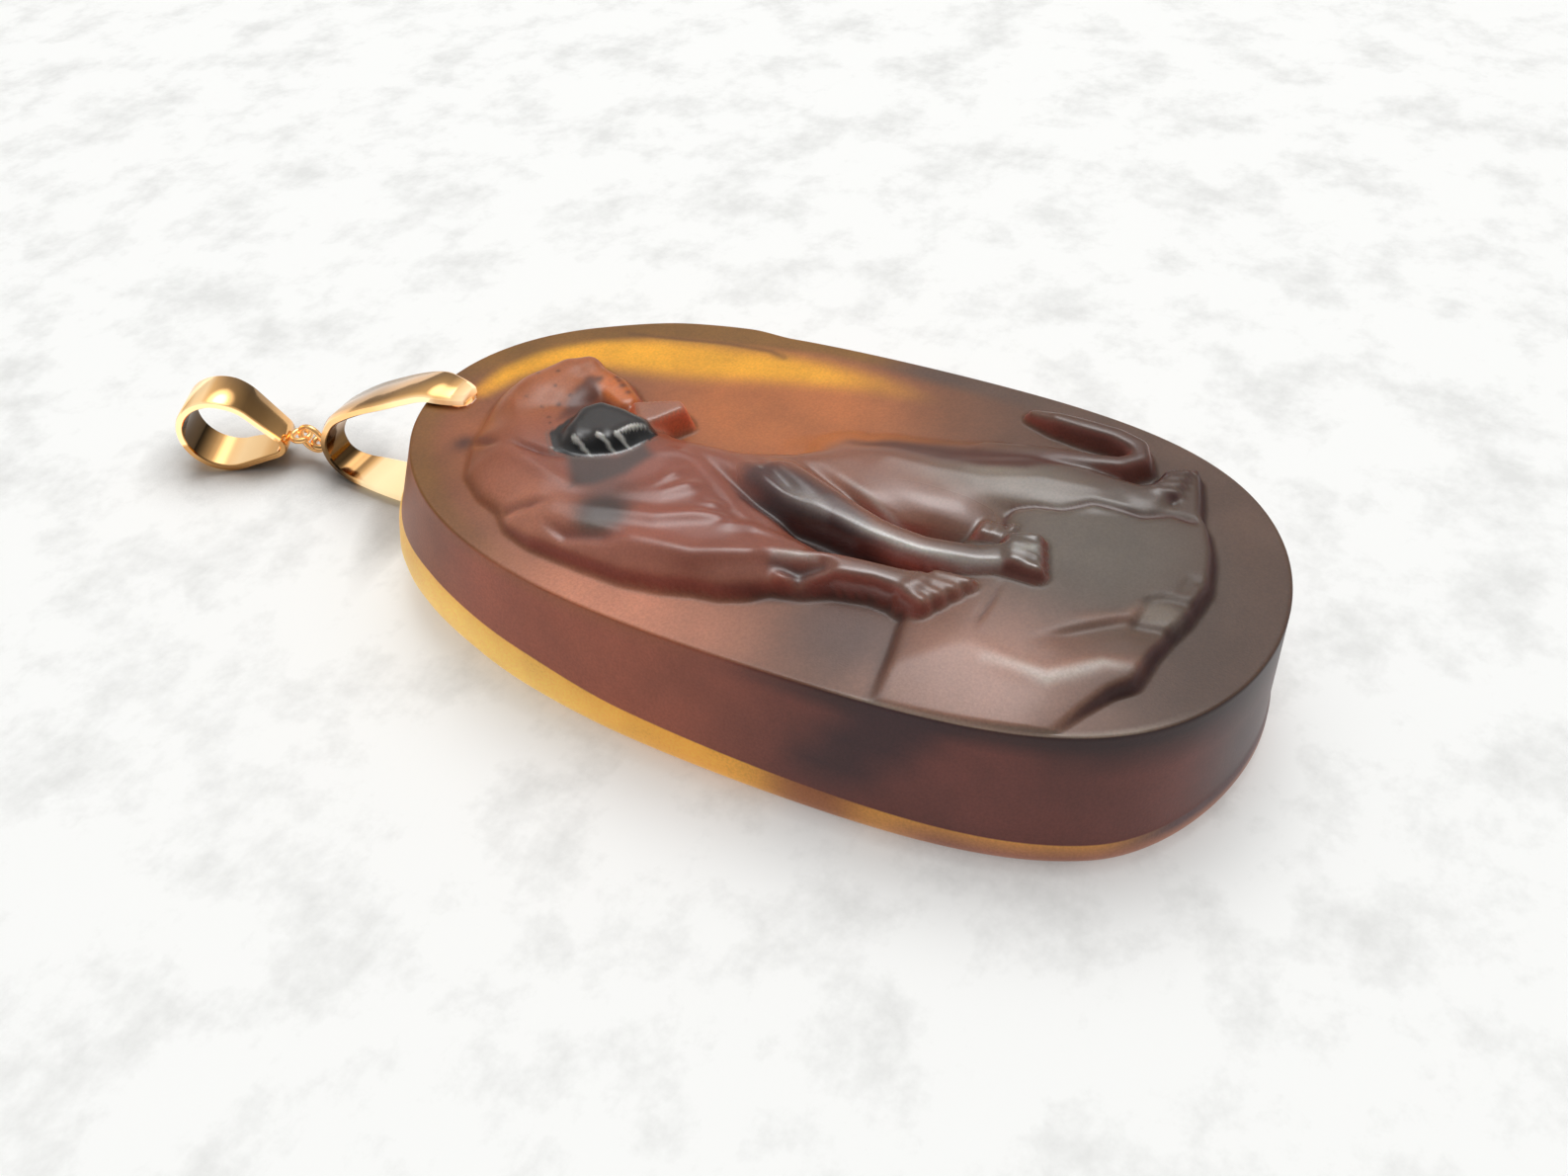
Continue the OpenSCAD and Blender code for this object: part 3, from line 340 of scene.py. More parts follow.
def stone_mesh(nx=200, ny=370):
    """The stone in millimetres: points, faces, and named values for the material."""
    u, v = np.meshgrid(np.linspace(-1, 1, nx + 1), np.linspace(-1, 1, ny + 1))
    a, b = disc(u, v)
    x, y = a * HALF_W * (fullness(b) + flake(a, b)), b * HALF_L
    rim_i = [(0, i) for i in range(nx)] + [(j, nx) for j in range(ny)]
    rim_i += [(ny, i) for i in range(nx, 0, -1)] + [(j, 0) for j in range(ny, 0, -1)]
    rj, ri = np.array([p[0] for p in rim_i]), np.array([p[1] for p in rim_i])
    rx, ry = x[rj, ri].copy(), y[rj, ri].copy()
    tx, ty = np.roll(rx, -1) - np.roll(rx, 1), np.roll(ry, -1) - np.roll(ry, 1)
    ln = np.hypot(tx, ty)
    ox, oy = ty / ln, -tx / ln
    gx, gy = x * (1 - FACE_IN / HALF_W), y * (1 - FACE_IN / HALF_L)
    fig, rk = figure(gx, gy), rock(gx, gy)
    z = (fig ** BLEND + rk ** BLEND) ** (1 / BLEND) - strands(gx, gy, GROOVES)
    z = z * ramp(1 - (a * a + b * b), 0, 0.014)
    for _ in range(2):
        z[1:-1] = (z[:-2] + 2 * z[1:-1] + z[2:]) / 4
        z[:, 1:-1] = (z[:, :-2] + 2 * z[:, 1:-1] + z[:, 2:]) / 4
    pts = [np.stack([gx.ravel(), gy.ravel(), FACE_Z + z.ravel()], -1)]
    zc, so, bo = seam_z(ry), seam_out(ry), base_out(ry)
    rings = [(-0.05 + 0 * ry, FACE_Z - 0.03 + 0 * ry, 0), (0 * ry, FACE_Z - EDGE_H + 0 * ry, 0)]
    for t in (0.03, 0.08, 0.2, 0.4, 0.7, 0.93):
        rings.append((so * t, FACE_Z - EDGE_H + (zc - FACE_Z + EDGE_H) * t, 0))
    rings.append((so, zc + 0.04, 0))
    rings.append((so + 0.02, zc - 0.04, 1))
    rings.append((so + 0.45 * (bo - so) + 0.05, 0.88 * zc, 1))
    for s in np.linspace(0, 1, 7):
        ang = s * math.pi / 2
        rings.append((bo - BASE_TURN * (1 - math.cos(ang)),
                      BASE_WIDEST * zc * (1 - math.sin(ang)), 1))
    for out, h, _ in rings:
        pts.append(np.stack([rx + out * ox, ry + out * oy, h], -1))
    pts.append(np.array([[0.0, 0.0, 0.0]]))
    pts = np.concatenate(pts)
    n0, n = (nx + 1) * (ny + 1), len(rx)
    jj, ii = np.meshgrid(np.arange(ny), np.arange(nx), indexing="ij")
    q = (jj * (nx + 1) + ii).ravel()
    quads = np.stack([q, q + 1, q + nx + 2, q + nx + 1], -1)
    idx = [rj * (nx + 1) + ri] + [n0 + k * n + np.arange(n) for k in range(len(rings))]
    faces = [quads]
    for up, lo in zip(idx[:-1], idx[1:]):
        faces.append(np.stack([up, lo, np.roll(lo, -1), np.roll(up, -1)], -1))
    quads = np.concatenate(faces)
    last = idx[-1]
    tris = np.stack([last, np.full(n, len(pts) - 1), np.roll(last, -1)], -1)
    part = np.zeros(len(pts))
    for k, (_, _, flag) in enumerate(rings):
        part[n0 + k * n:n0 + (k + 1) * n] = flag
    part[-1] = 1
    wall = np.zeros(len(pts))
    wall[n0 + n:] = 1
    smooth = z.copy()
    for _ in range(10):
        smooth[1:-1, 1:-1] = (smooth[:-2, 1:-1] + smooth[2:, 1:-1] + smooth[1:-1, :-2]
                              + smooth[1:-1, 2:] + smooth[1:-1, 1:-1]) / 5
    # how far the carving lies below its smoothed surface, for the painted shade in hollows
    hollow_shade = np.zeros(len(pts))
    hollow_shade[:n0] = (smooth - z).ravel()
    rise = np.zeros(len(pts))
    rise[:n0] = fig.ravel()
    steep = np.zeros(len(pts))
    cell = 2 * HALF_W / nx
    dzx = np.gradient(z, axis=1) / cell
    dzy = np.gradient(z, axis=0) / cell
    steep[:n0] = np.clip(np.hypot(dzx, dzy), 0, 6).ravel()
    return pts, quads, tris, dict(honey_glow=part, wall=wall, hollow_shade=hollow_shade, rise=rise, steep=steep)


# ---------------------------------------------------------------- colours
def srgb(r, g, b):
    c = np.array([r, g, b]) / 255
    return np.where(c <= 0.04045, c / 12.92, ((c + 0.055) / 1.055) ** 2.4)


MUD = srgb(86, 64, 52)
SALMON = srgb(190, 123, 95)
ORANGE = srgb(242, 170, 38)
APRICOT = srgb(180, 104, 54)
RUST = srgb(164, 94, 56)
UMBER = srgb(116, 72, 36)
OLIVE = srgb(130, 88, 34)
SMOKE = srgb(62, 54, 50)
INK = srgb(14, 13, 14)
HIGHLIGHT_PALE = srgb(200, 198, 190)
ASH = srgb(101, 90, 80)
ROSE = srgb(158, 114, 96)
PLUM = srgb(98, 74, 66)
MANE_TINT = srgb(144, 82, 66)
TORSO = srgb(138, 90, 70)
PEWTER = srgb(130, 118, 106)
UMBRA = srgb(84, 46, 34)
WINE = srgb(158, 78, 64)
BLOOD = srgb(104, 60, 50)
BAND = srgb(80, 54, 52)
SLATE = srgb(66, 44, 44)
PITCH = srgb(44, 20, 22)
EMBER = srgb(226, 112, 74)
FLAME = srgb(206, 106, 34)
WALL = srgb(118, 60, 51)
WALL_LEFT = srgb(176, 92, 66)
DUSK = srgb(66, 32, 36)
LILAC = srgb(102, 76, 76)
HAZE = srgb(122, 108, 108)
HONEY = srgb(240, 190, 88)
DEEP_HONEY = srgb(222, 156, 58)
CLAY = srgb(110, 54, 44)
# outline of the grey haze below the cheek
GREY_PATCH = [(-4.2, 13.4), (-5.2, 12.7), (-6.9, 11.4), (-6.1, 10.3), (-4.6, 9.2), (-2.6, 8.6),
              (-1.6, 9.8), (-3.4, 10.6)]


def spot(x, y, cx, cy, rx, ry, turn=0, soft=1.0):
    """Share of a soft oval patch. A larger soft value gives it a flatter middle."""
    q = oval(x, y, (cx, cy, rx, ry, turn))
    return np.exp(-np.maximum(q, 0) ** (2 * soft))


def over(col, new, share):
    """One colour laid over another by a share from 0 to 1."""
    return col + (new - col) * np.clip(share, 0, 1)[:, None]


def face_colours(x, y, m):
    h, steep = m["rise"], m["steep"]
    c = np.tile(MUD, (len(x), 1))
    c = over(c, SALMON, 1.1 * spot(x, y, -12, 6, 4.5, 8))
    c = over(c, APRICOT, 1.2 * spot(x, y, 6, 5, 7.5, 9, 8))
    c = over(c, RUST, 0.9 * spot(x, y, -3, 18, 8, 7))
    # orange of the amber, partly brightened as painted glow of light through the far rim
    c = over(c, ORANGE, 0.95 * ramp(strands(x, y, GLOW), 0.1, 0.95))
    c = over(c, UMBER, 0.9 * spot(x, y, -7.6, 20.8, 2.4, 1.8, 30))
    c = over(c, ASH, spot(x, y, 0.5, -15, 5.5, 5.5, 0, 1.5))
    # pink of the rock's near part, partly its own colour and partly painted sheen
    c = over(c, ROSE, spot(x, y, -10, -12, 4.8, 5.5, 0, 1.2))
    c = over(c, PLUM, 0.95 * spot(x, y, -9.3, -5.7, 2.8, 2.7, 20, 1.3))
    rim = 1 - np.sqrt((x / (HALF_W * fullness(np.clip(y / HALF_L, -1, 1)))) ** 2
                      + (y / HALF_L) ** 2)
    c = over(c, OLIVE, ramp(-rim, -0.12, -0.04) * ramp(x, 0, 5) * ramp(y, -3, 3))
    c = over(c, OLIVE, 0.6 * ramp(-rim, -0.09, -0.03) * ramp(y, 10, 20))
    c = over(c, OLIVE, 0.9 * ramp(strands(x, y, CHIP), 0.2, 0.8))
    c = over(c, UMBER * 0.7, 0.7 * strands(x, y, CHIP_LINE))
    c = over(c, MUD * 1.2, ramp(-rim, -0.15, -0.06) * ramp(x, 0, 5) * ramp(-y, -3, 2))
    # the figure
    on = ramp(h, 0.25, 0.8)
    c = over(c, MANE_TINT, on * 0.95 * spot(x, y, -5, 7, 7, 11, 0, 2))
    c = over(c, SALMON, on * 0.8 * spot(x, y, -9, 14, 2.5, 4))
    c = over(c, TORSO, on * spot(x, y, 1, -3, 5, 6.5, 0, 2))
    c = over(c, PEWTER, on * 0.9 * spot(x, y, 3.6, -9, 2.2, 4.8, 8, 1.5))
    # painted shade on the far side of the haunch
    c = over(c, UMBRA, on * ramp(strands(x, y, FAR_SLOPE_SHADE), 0.25, 0.75))
    # painted shade inside the curl of the tail
    c = over(c, UMBRA, on * 0.7 * spot(x, y, 8.0, -14, 2.5, 3))
    # painted shade: steep faces are darker and redder, as where one looks into the depth of the
    # stone
    edge = 0.4 + 0.6 * ramp(h, 0.02, 0.3)
    c = over(c, WINE, edge * 0.85 * ramp(steep, 0.5, 1.8))
    c = over(c, BLOOD, edge * 0.9 * ramp(steep, 0.5, 1.8) * ramp(-y, 8, 12))
    c = over(c, BAND, 0.95 * ramp(steep, 0.3, 1.2) * ramp(-y, 15.5, 17))
    c = over(c, SLATE, on * 0.85 * ramp(strands(x, y, ARM), 0.25, 0.85))
    # painted shade in the deepest folds and hollows of the carving
    c = over(c, PITCH, 0.8 * ramp(strands(x, y, FOLD_SHADE), 0.15, 0.9))
    # painted shade in the rock's grooves
    c = over(c, UMBRA, 0.8 * ramp(strands(x, y, GROOVES), 0.04, 0.16))
    # painted shade on the low wall along the rock's near edge
    c = over(c, PLUM * 0.75, 0.8 * strands(x, y, ROCK_FOOT_SHADE))
    # painted highlight along the rock's soft crests
    c = over(c, ROSE * 1.5, 4 * strands(x, y, RIDGES))
    c = over(c, PEWTER, 0.7 * spot(x, y, -2.9, -19.4, 0.9, 1.0, 0, 2))
    # painted shade on the far side of the back
    c = over(c, UMBRA * 1.2, 0.7 * strands(x, y, BACK_SHADE))
    # painted shade along the creases of the mane
    c = over(c, WINE * 0.4, on * 1.9 * strands(x, y, CREASES[2:6]))
    # painted highlights on the polished places
    c = over(c, HIGHLIGHT_PALE, 0.7 * strands(x, y, SHINE))
    # painted highlight along the near rim of the face
    lip_highlight = ramp(-rim, -0.022, -0.006) * (1 - m["wall"]) * ramp(-y, 5, 9) * ramp(y, -23.5, -19)
    c = over(c, PEWTER * 1.3, 0.6 * lip_highlight * ramp(-x, 0, 4))
    # painted shade, deeper where the carving lies below its smoothed surface
    c = c * (1 - 0.4 * ramp(m["hollow_shade"], 0.015, 0.2))[:, None]
    # the head: mouth, nostril, haze and cheek
    on = ramp(h, 0.5, 1.0)
    c = over(c, RUST * 1.1, on * 0.8 * spot(x, y, 2.0, 18.4, 4.5, 2.4, -10, 1.5))
    c = over(c, FLAME * (0.95, 0.95, 0.6), on * spot(x, y, 2.6, 14.1, 1.0, 2.1, -26, 1.6))
    c = over(c, UMBRA * 1.1, on * 0.9 * ramp(strands(x, y, HAZE_PATH), 0.2, 0.8))
    for a, b, r in PITS:
        c = over(c, PITCH, 0.75 * spot(x, y, a, b, r, r * 0.8, 0, 1.2))
    # painted shade at the start of a crease in the mane
    c = over(c, PITCH, 0.75 * spot(x, y, -4.2, 20.4, 0.8, 0.7))
    jaw = ramp(depth(x, y, JAW), -0.1, 0.2)
    c = over(c, SALMON * 0.75, 0.9 * jaw)
    # painted glow: the jaw's steep sides lit red as by light through the stone
    c = over(c, EMBER, 0.9 * jaw * ramp(steep, 0.6, 1.6))
    c = over(c, SMOKE, on * 0.5 * spot(x, y, -6.4, 9.4, 1.8, 1.7, 0, 1.5))
    c = over(c, SMOKE, on * 0.85 * ramp(depth(x, y, GREY_PATCH), -0.3, 0.5))
    c = over(c, SMOKE, on * 0.9 * spot(x, y, -7.9, 8.8, 1.5, 1.55, 0, 2))
    c = over(c, ASH * 0.8, on * 0.6 * spot(x, y, -8.8, 9.0, 0.4, 0.9, 10))
    inside = depth(x, y, CHEEK)
    c = over(c, SMOKE * 0.5, ramp(inside, 0.0, 0.12))
    near = ramp(inside, 0.0, 0.1) * -step(x, y, (CHEEK_RIM, 1, 50)) * ramp(h, 0.5, 1.0)
    c = over(c, INK * 0.4, near)
    # painted highlights on the raised strokes of the cheek
    c = over(c, HIGHLIGHT_PALE, 0.8 * ramp(strands(x, y, STROKES), 0.1, 0.16))
    foot = np.exp(-((inside + 0.1) / 0.09) ** 2) * ramp(-x - 0.3 * y, -2.5, -1.5)
    c = over(c, ASH, 0.5 * foot)
    return c, near


def wall_colours(x, y, z):
    w = over(np.tile(WALL, (len(x), 1)), WALL_LEFT, ramp(y, -8, 6))
    w = over(w, UMBER * 1.3, 0.5 * ramp(y, 14, 20) * ramp(-x, 0, 6))
    w = over(w, LILAC * 0.75, 0.95 * ramp(x, -9, -4) * ramp(-y, 16, 20))
    # painted light: the lower wall at the end away from the bail turns paler and greyer
    w = over(w, HAZE, 0.9 * ramp(x, -3, 5) * ramp(-y, 20, 24) * ramp(-z, -7.5, -4.5))
    w = over(w, PITCH, 0.8 * ramp(z, 7.7, 8.3) * ramp(-y, -2, 8) * ramp(-x, -2, 4))
    w = over(w, PITCH * 1.2, 0.85 * ramp(z, 6.5, 7.8) * ramp(-y, 14, 20) * ramp(-x, -8, -1))
    w = over(w, RUST, 0.6 * ramp(z, 7.9, 8.6) * ramp(y, -2, 6))
    middle = -3.5 - 0.8 * z
    dusk = np.exp(-((y - middle) / 2.6) ** 4) * ramp(-x, 4, 9)
    return over(w, DUSK, 0.95 * dusk * ramp(z, 1.5, 5))


def base_colours(x, y, z):
    b = over(np.tile(HONEY, (len(x), 1)), DEEP_HONEY, ramp(-y, -14, 0))
    b = over(b, SALMON * 0.55, ramp(-y, 6, 13))
    b = over(b, DEEP_HONEY, 0.5 * ramp(z / seam_z(y), 0.75, 1.0))
    b = over(b, CLAY, 0.85 * spot(x, y, -14, -6, 6, 3.0, 0, 1.4))
    return over(b, LILAC * 0.8, ramp(-y, 19, 23) * ramp(z / seam_z(y), 0.72, 0.82))


def stone_colours(p, m):
    x, y, z = p[:, 0], p[:, 1], p[:, 2]
    c, near = face_colours(x, y, m)
    c = over(c, wall_colours(x, y, z), m["wall"])
    head = ramp(y, 13, 17)
    legs = ramp(strands(x, y, ARM), 0.2, 0.8) + ramp(-y, 1, 6) * ramp(-x, -2, 1)
    polish = (0.38 - 0.25 * head + 0.4 * np.clip(legs, 0, 1)) * ramp(m["rise"], 0.2, 0.9)
    polish = polish * (1 - 0.7 * strands(x, y, FAR_SLOPE_SHADE)) + 0.5 * near
    polish = polish + 0.3 * spot(x, y, -9, -13, 5, 6, 0, 1.5) * (1 - m["wall"])
    polish = polish * (1 - 0.6 * spot(x, y, -6.0, -8.9, 2.0, 1.8, 0, 2))
    return over(c, base_colours(x, y, z), m["honey_glow"]), np.clip(polish, 0, 1)


# ---------------------------------------------------------------- node materials
def material(name):
    mat = bpy.data.materials.new(name)
    mat.use_nodes = True
    nt = mat.node_tree
    return mat, nt, nt.nodes["Principled BSDF"]


def link(nt, a, out, b, inp):
    nt.links.new(a.outputs[out], b.inputs[inp])


def noise(nt, coord, scale, detail, rough=0.5):
    n = nt.nodes.new("ShaderNodeTexNoise")
    n.inputs["Scale"].default_value = scale
    n.inputs["Detail"].default_value = detail
    n.inputs["Roughness"].default_value = rough
    link(nt, coord, "Object", n, "Vector")
    return n


def spread(nt, source, out, low, high, to_low, to_high):
    """A value brought from one range to another."""
    n = nt.nodes.new("ShaderNodeMapRange")
    n.inputs["From Min"].default_value = low
    n.inputs["From Max"].default_value = high
    n.inputs["To Min"].default_value = to_low
    n.inputs["To Max"].default_value = to_high
    link(nt, source, out, n, "Value")
    return n


def amber_material():
    mat, nt, bsdf = material("amber")
    coord = nt.nodes.new("ShaderNodeTexCoord")
    tint = nt.nodes.new("ShaderNodeAttribute")
    tint.attribute_name = "tint"
    polish = nt.nodes.new("ShaderNodeAttribute")
    polish.attribute_name = "polish"
    veil = spread(nt, noise(nt, coord, 260, 3), "Fac", 0.3, 0.7, 0.86, 1.14)
    speck = spread(nt, noise(nt, coord, 7000, 2), "Fac", 0.3, 0.7, 0.9, 1.1)
    both = nt.nodes.new("ShaderNodeMath")
    both.operation = "MULTIPLY"
    link(nt, veil, "Result", both, 0)
    link(nt, speck, "Result", both, 1)
    mul = nt.nodes.new("ShaderNodeVectorMath")
    mul.operation = "SCALE"
    link(nt, tint, "Color", mul, 0)
    link(nt, both, "Value", mul, "Scale")
    link(nt, mul, "Vector", bsdf, "Base Color")
    rough = spread(nt, polish, "Fac", 0, 1, 0.4, 0.12)
    link(nt, rough, "Result", bsdf, "Roughness")
    bump = nt.nodes.new("ShaderNodeBump")
    bump.inputs["Distance"].default_value = 0.00003
    link(nt, noise(nt, coord, 9000, 2), "Fac", bump, "Height")
    link(nt, spread(nt, polish, "Fac", 0, 0.6, 0.22, 0.05), "Result", bump, "Strength")
    link(nt, bump, "Normal", bsdf, "Normal")
    # painted glow: the honey base gives off light, as if lit through the stone
    honey_glow = nt.nodes.new("ShaderNodeAttribute")
    honey_glow.attribute_name = "honey_glow"
    link(nt, mul, "Vector", bsdf, "Emission Color")
    link(nt, spread(nt, honey_glow, "Fac", 0, 1, 0, 0.3), "Result", bsdf, "Emission Strength")
    bsdf.inputs["IOR"].default_value = 1.54
    shine = spread(nt, polish, "Fac", 0, 1, 0.32, 0.85)
    link(nt, shine, "Result", bsdf, "Specular IOR Level")
    bsdf.inputs["Subsurface Weight"].default_value = 0.2
    bsdf.inputs["Subsurface Radius"].default_value = (1.0, 0.35, 0.12)
    bsdf.inputs["Subsurface Scale"].default_value = 0.001
    return mat


def gold_material():
    mat, nt, bsdf = material("gold")
    coord = nt.nodes.new("ShaderNodeTexCoord")
    wear = noise(nt, coord, 900, 3)
    ramp_node = nt.nodes.new("ShaderNodeValToRGB")
    ramp_node.color_ramp.elements[0].color = (*srgb(240, 180, 114), 1)
    ramp_node.color_ramp.elements[1].color = (*srgb(250, 196, 130), 1)
    link(nt, wear, "Fac", ramp_node, "Fac")
    # painted reflections: below zero they darken the gold, above zero a painted highlight makes it
    # glow
    reflection_paint = nt.nodes.new("ShaderNodeAttribute")
    reflection_paint.attribute_name = "reflection_paint"
    mul = nt.nodes.new("ShaderNodeVectorMath")
    mul.operation = "SCALE"
    link(nt, ramp_node, "Color", mul, 0)
    link(nt, spread(nt, reflection_paint, "Fac", -1, 0, 0.06, 1), "Result", mul, "Scale")
    link(nt, mul, "Vector", bsdf, "Base Color")
    gleam = nt.nodes.new("ShaderNodeValToRGB")
    gleam.color_ramp.elements[0].position = 0.5
    gleam.color_ramp.elements[0].color = (*srgb(245, 190, 122), 1)
    gleam.color_ramp.elements[1].color = (*srgb(252, 238, 196), 1)
    link(nt, reflection_paint, "Fac", gleam, "Fac")
    link(nt, gleam, "Color", bsdf, "Emission Color")
    link(nt, spread(nt, reflection_paint, "Fac", 0, 1, 0, 0.8), "Result", bsdf, "Emission Strength")
    bsdf.inputs["Metallic"].default_value = 1.0
    bsdf.inputs["Roughness"].default_value = 0.12
    return mat


# ---------------------------------------------------------------- mesh helpers
def make_object(name, pts, faces, mat):
    me = bpy.data.meshes.new(name)
    me.from_pydata([tuple(p * MM) for p in np.asarray(pts, float)], [],
                   [tuple(int(i) for i in f) for f in faces])
    me.validate()
    me.materials.append(mat)
    for poly in me.polygons:
        poly.use_smooth = True
    ob = bpy.data.objects.new(name, me)
    bpy.context.scene.collection.objects.link(ob)
    return ob


def box_tool(name, x0, x1, y0, y1, z0, z1):
    v = [(x, y, z) for x in (x0, x1) for y in (y0, y1) for z in (z0, z1)]
    f = [(0, 1, 3, 2), (4, 6, 7, 5), (0, 4, 5, 1), (2, 3, 7, 6), (0, 2, 6, 4), (1, 5, 7, 3)]
    me = bpy.data.meshes.new(name)
    me.from_pydata([tuple(c * MM for c in p) for p in v], [], f)
    ob = bpy.data.objects.new(name, me)
    bpy.context.scene.collection.objects.link(ob)
    return ob


def cut(ob, tools):
    for t in tools:
        m = ob.modifiers.new("cut", "BOOLEAN")
        m.operation = "DIFFERENCE"
        m.solver = "EXACT"
        m.object = t
    dg = bpy.context.evaluated_depsgraph_get()
    me = bpy.data.meshes.new_from_object(ob.evaluated_get(dg))
    ob.modifiers.clear()
    ob.data = me
    for t in tools:
        bpy.data.objects.remove(t)


def mark(ob, name, values):
    """A named value at each point, which the material reads."""
    attr = ob.data.attributes.new(name, "FLOAT", "POINT")
    attr.data.foreach_set("value", np.asarray(values, float))


amber = amber_material()
gold = gold_material()

pts, quads, tris, marks = stone_mesh()
stone = make_object("stone", pts, list(quads) + list(tris), amber)
colours, polish = stone_colours(pts, marks)
attr = stone.data.color_attributes.new("tint", "FLOAT_COLOR", "POINT")
attr.data.foreach_set("color", np.concatenate([colours, np.ones((len(colours), 1))], 1).ravel())
mark(stone, "polish", polish)
mark(stone, "honey_glow", marks["honey_glow"])
bpy.ops.mesh.primitive_cylinder_add(vertices=48, radius=HOLE_R * MM, depth=0.03,
                                    location=(HOLE[0] * MM, HOLE[1] * MM, 0.005))
hole_tool = bpy.context.object
seat_tool = box_tool("seat", SEAT[0], SEAT[1], SEAT[2], SEAT[3], -1, SEAT[4])
cut(stone, [hole_tool, seat_tool])


# ---------------------------------------------------------------- gold findings
def spline(pts, steps):
    pts = [np.array(p, float) for p in pts]
    n = len(pts)
    out = []
    for i in range(n - 1):
        a, b, c, d = pts[max(0, i - 1)], pts[i], pts[i + 1], pts[min(n - 1, i + 2)]
        for s in range(steps):
            t = s / steps
            out.append(0.5 * (2 * b + (c - a) * t + (2 * a - 5 * b + 4 * c - d) * t * t
                              + (3 * b - a - 3 * c + d) * t ** 3))
    return np.array(out + [pts[-1]])


def band(path, half_w, thick, bevel_out, bevel_in, closed):
    """A strip along a path in the YZ plane, with bevelled edges. Its outside is on the left."""
    n = len(path)
    if closed:
        along = np.roll(path, -1, 0) - np.roll(path, 1, 0)
    else:
        along = np.gradient(path, axis=0)
    along /= np.linalg.norm(along, axis=1)[:, None]
    side = np.stack([-along[:, 1], along[:, 0]], -1)
    verts, faces = [], []
    h = thick / 2
    for i in range(n):
        w = half_w[i]
        bo, bi = min(bevel_out, 0.7 * w), min(bevel_in, 0.5 * w)
        sec = [(-w + bi, -h), (-w, -h + bi * .8), (-w, h - bo * .6), (-w + bo, h),
               (w - bo, h), (w, h - bo * .6), (w, -h + bi * .8), (w - bi, -h)]
        for sx, sn in sec:
            q = path[i] + side[i] * sn
            verts.append((sx, q[0], q[1]))
    k = 8
    for i in range(n if closed else n - 1):
        j = (i + 1) % n
        for s in range(k):
            t = (s + 1) % k
            faces.append((i * k + s, i * k + t, j * k + t, j * k + s))
    if not closed:
        faces.append(tuple(range(k - 1, -1, -1)))
        faces.append(tuple((n - 1) * k + s for s in range(k)))
    return np.array(verts), faces


def ring(centre, axis, r, wire, nu=48, nv=16):
    c, a = Vector(centre), Vector(axis).normalized()
    turn = a.to_track_quat("Z", "Y").to_matrix()
    verts, faces = [], []
    for i in range(nu):
        t = 2 * math.pi * i / nu
        for j in range(nv):
            s = 2 * math.pi * j / nv
            p = Vector(((r + wire * math.cos(s)) * math.cos(t),
                        (r + wire * math.cos(s)) * math.sin(t), wire * math.sin(s)))
            verts.append(tuple(c + turn @ p))
            faces.append((i * nv + j, ((i + 1) % nu) * nv + j,
                          ((i + 1) % nu) * nv + (j + 1) % nv, i * nv + (j + 1) % nv))
    return np.array(verts), faces


def pin(x, y, z0, z1, r, n=32):
    verts = [(x + r * math.cos(2 * math.pi * i / n), y + r * math.sin(2 * math.pi * i / n), z)
             for z in (z0, z1) for i in range(n)]
    faces = [(i, (i + 1) % n, n + (i + 1) % n, n + i) for i in range(n)]
    return np.array(verts), faces + [tuple(range(n - 1, -1, -1)), tuple(range(n, 2 * n))]


def joined(parts):
    verts, faces, k = [], [], 0
    for v, f in parts:
        verts.append(v)
        faces += [tuple(i + k for i in q) for q in f]
        k += len(v)
    return np.concatenate(verts), faces


def sharp_edges(ob, degrees):
    bpy.context.view_layer.objects.active = ob
    ob.select_set(True)
    bpy.ops.object.shade_smooth_by_angle(angle=math.radians(degrees))
    ob.select_set(False)


STRIP_T = 0.6
LEAF_W = 3.3
TIP_Y = HOLE[1] - 0.7
PRONG_GAP = 0.07  # between the upper prong and the face
UPPER_Z = FACE_Z + PRONG_GAP + STRIP_T / 2
LOWER_Z = 0.05 + STRIP_T / 2
BEND_Y = 34.75
# the strip's middle line round its bend, as y and z
BEND = [(TIP_Y, UPPER_Z), (23.8, UPPER_Z + 0.03), (25.0, UPPER_Z), (26.5, 8.6), (28.5, 7.65),
        (30.2, 6.8), (32.0, 5.7), (33.3, 4.7), (34.3, 3.4), (BEND_Y, 2.3), (34.55, 1.2),
        (33.9, 0.6), (33.0, LOWER_Z), (32.2, LOWER_Z)]
# the leaf's half width at places along y
LEAF = [(TIP_Y - 0.3, 0.0), (TIP_Y - 0.2, 0.45), (TIP_Y + 0.2, 0.85), (TIP_Y + 1.2, 1.2),
        (25, 0.44 * LEAF_W), (27.5, 0.5 * LEAF_W), (30, 0.48 * LEAF_W), (32.5, 0.4 * LEAF_W),
        (34.3, 0.32 * LEAF_W), (36, 0.28 * LEAF_W)]
# the small rings' painted reflection, which makes them glow a little
RING_GLEAM = 0.35
SHARP = 32  # degrees between faces from which an edge of the gold stays sharp
PIN_R = 0.65
PIN_DOWN = 1.6  # how far the upper pin reaches into the hole
PIN_UP = 2.6  # height of the lower pin's end
LINK_Z = 1.7
WIRE = 0.2
EYE_R = 0.6
RING_R = 0.9
CLIP_EYE_Y = BEND_Y + STRIP_T / 2 + EYE_R + WIRE - 0.15
BAIL_EYE_Y = CLIP_EYE_Y + 2 * RING_R

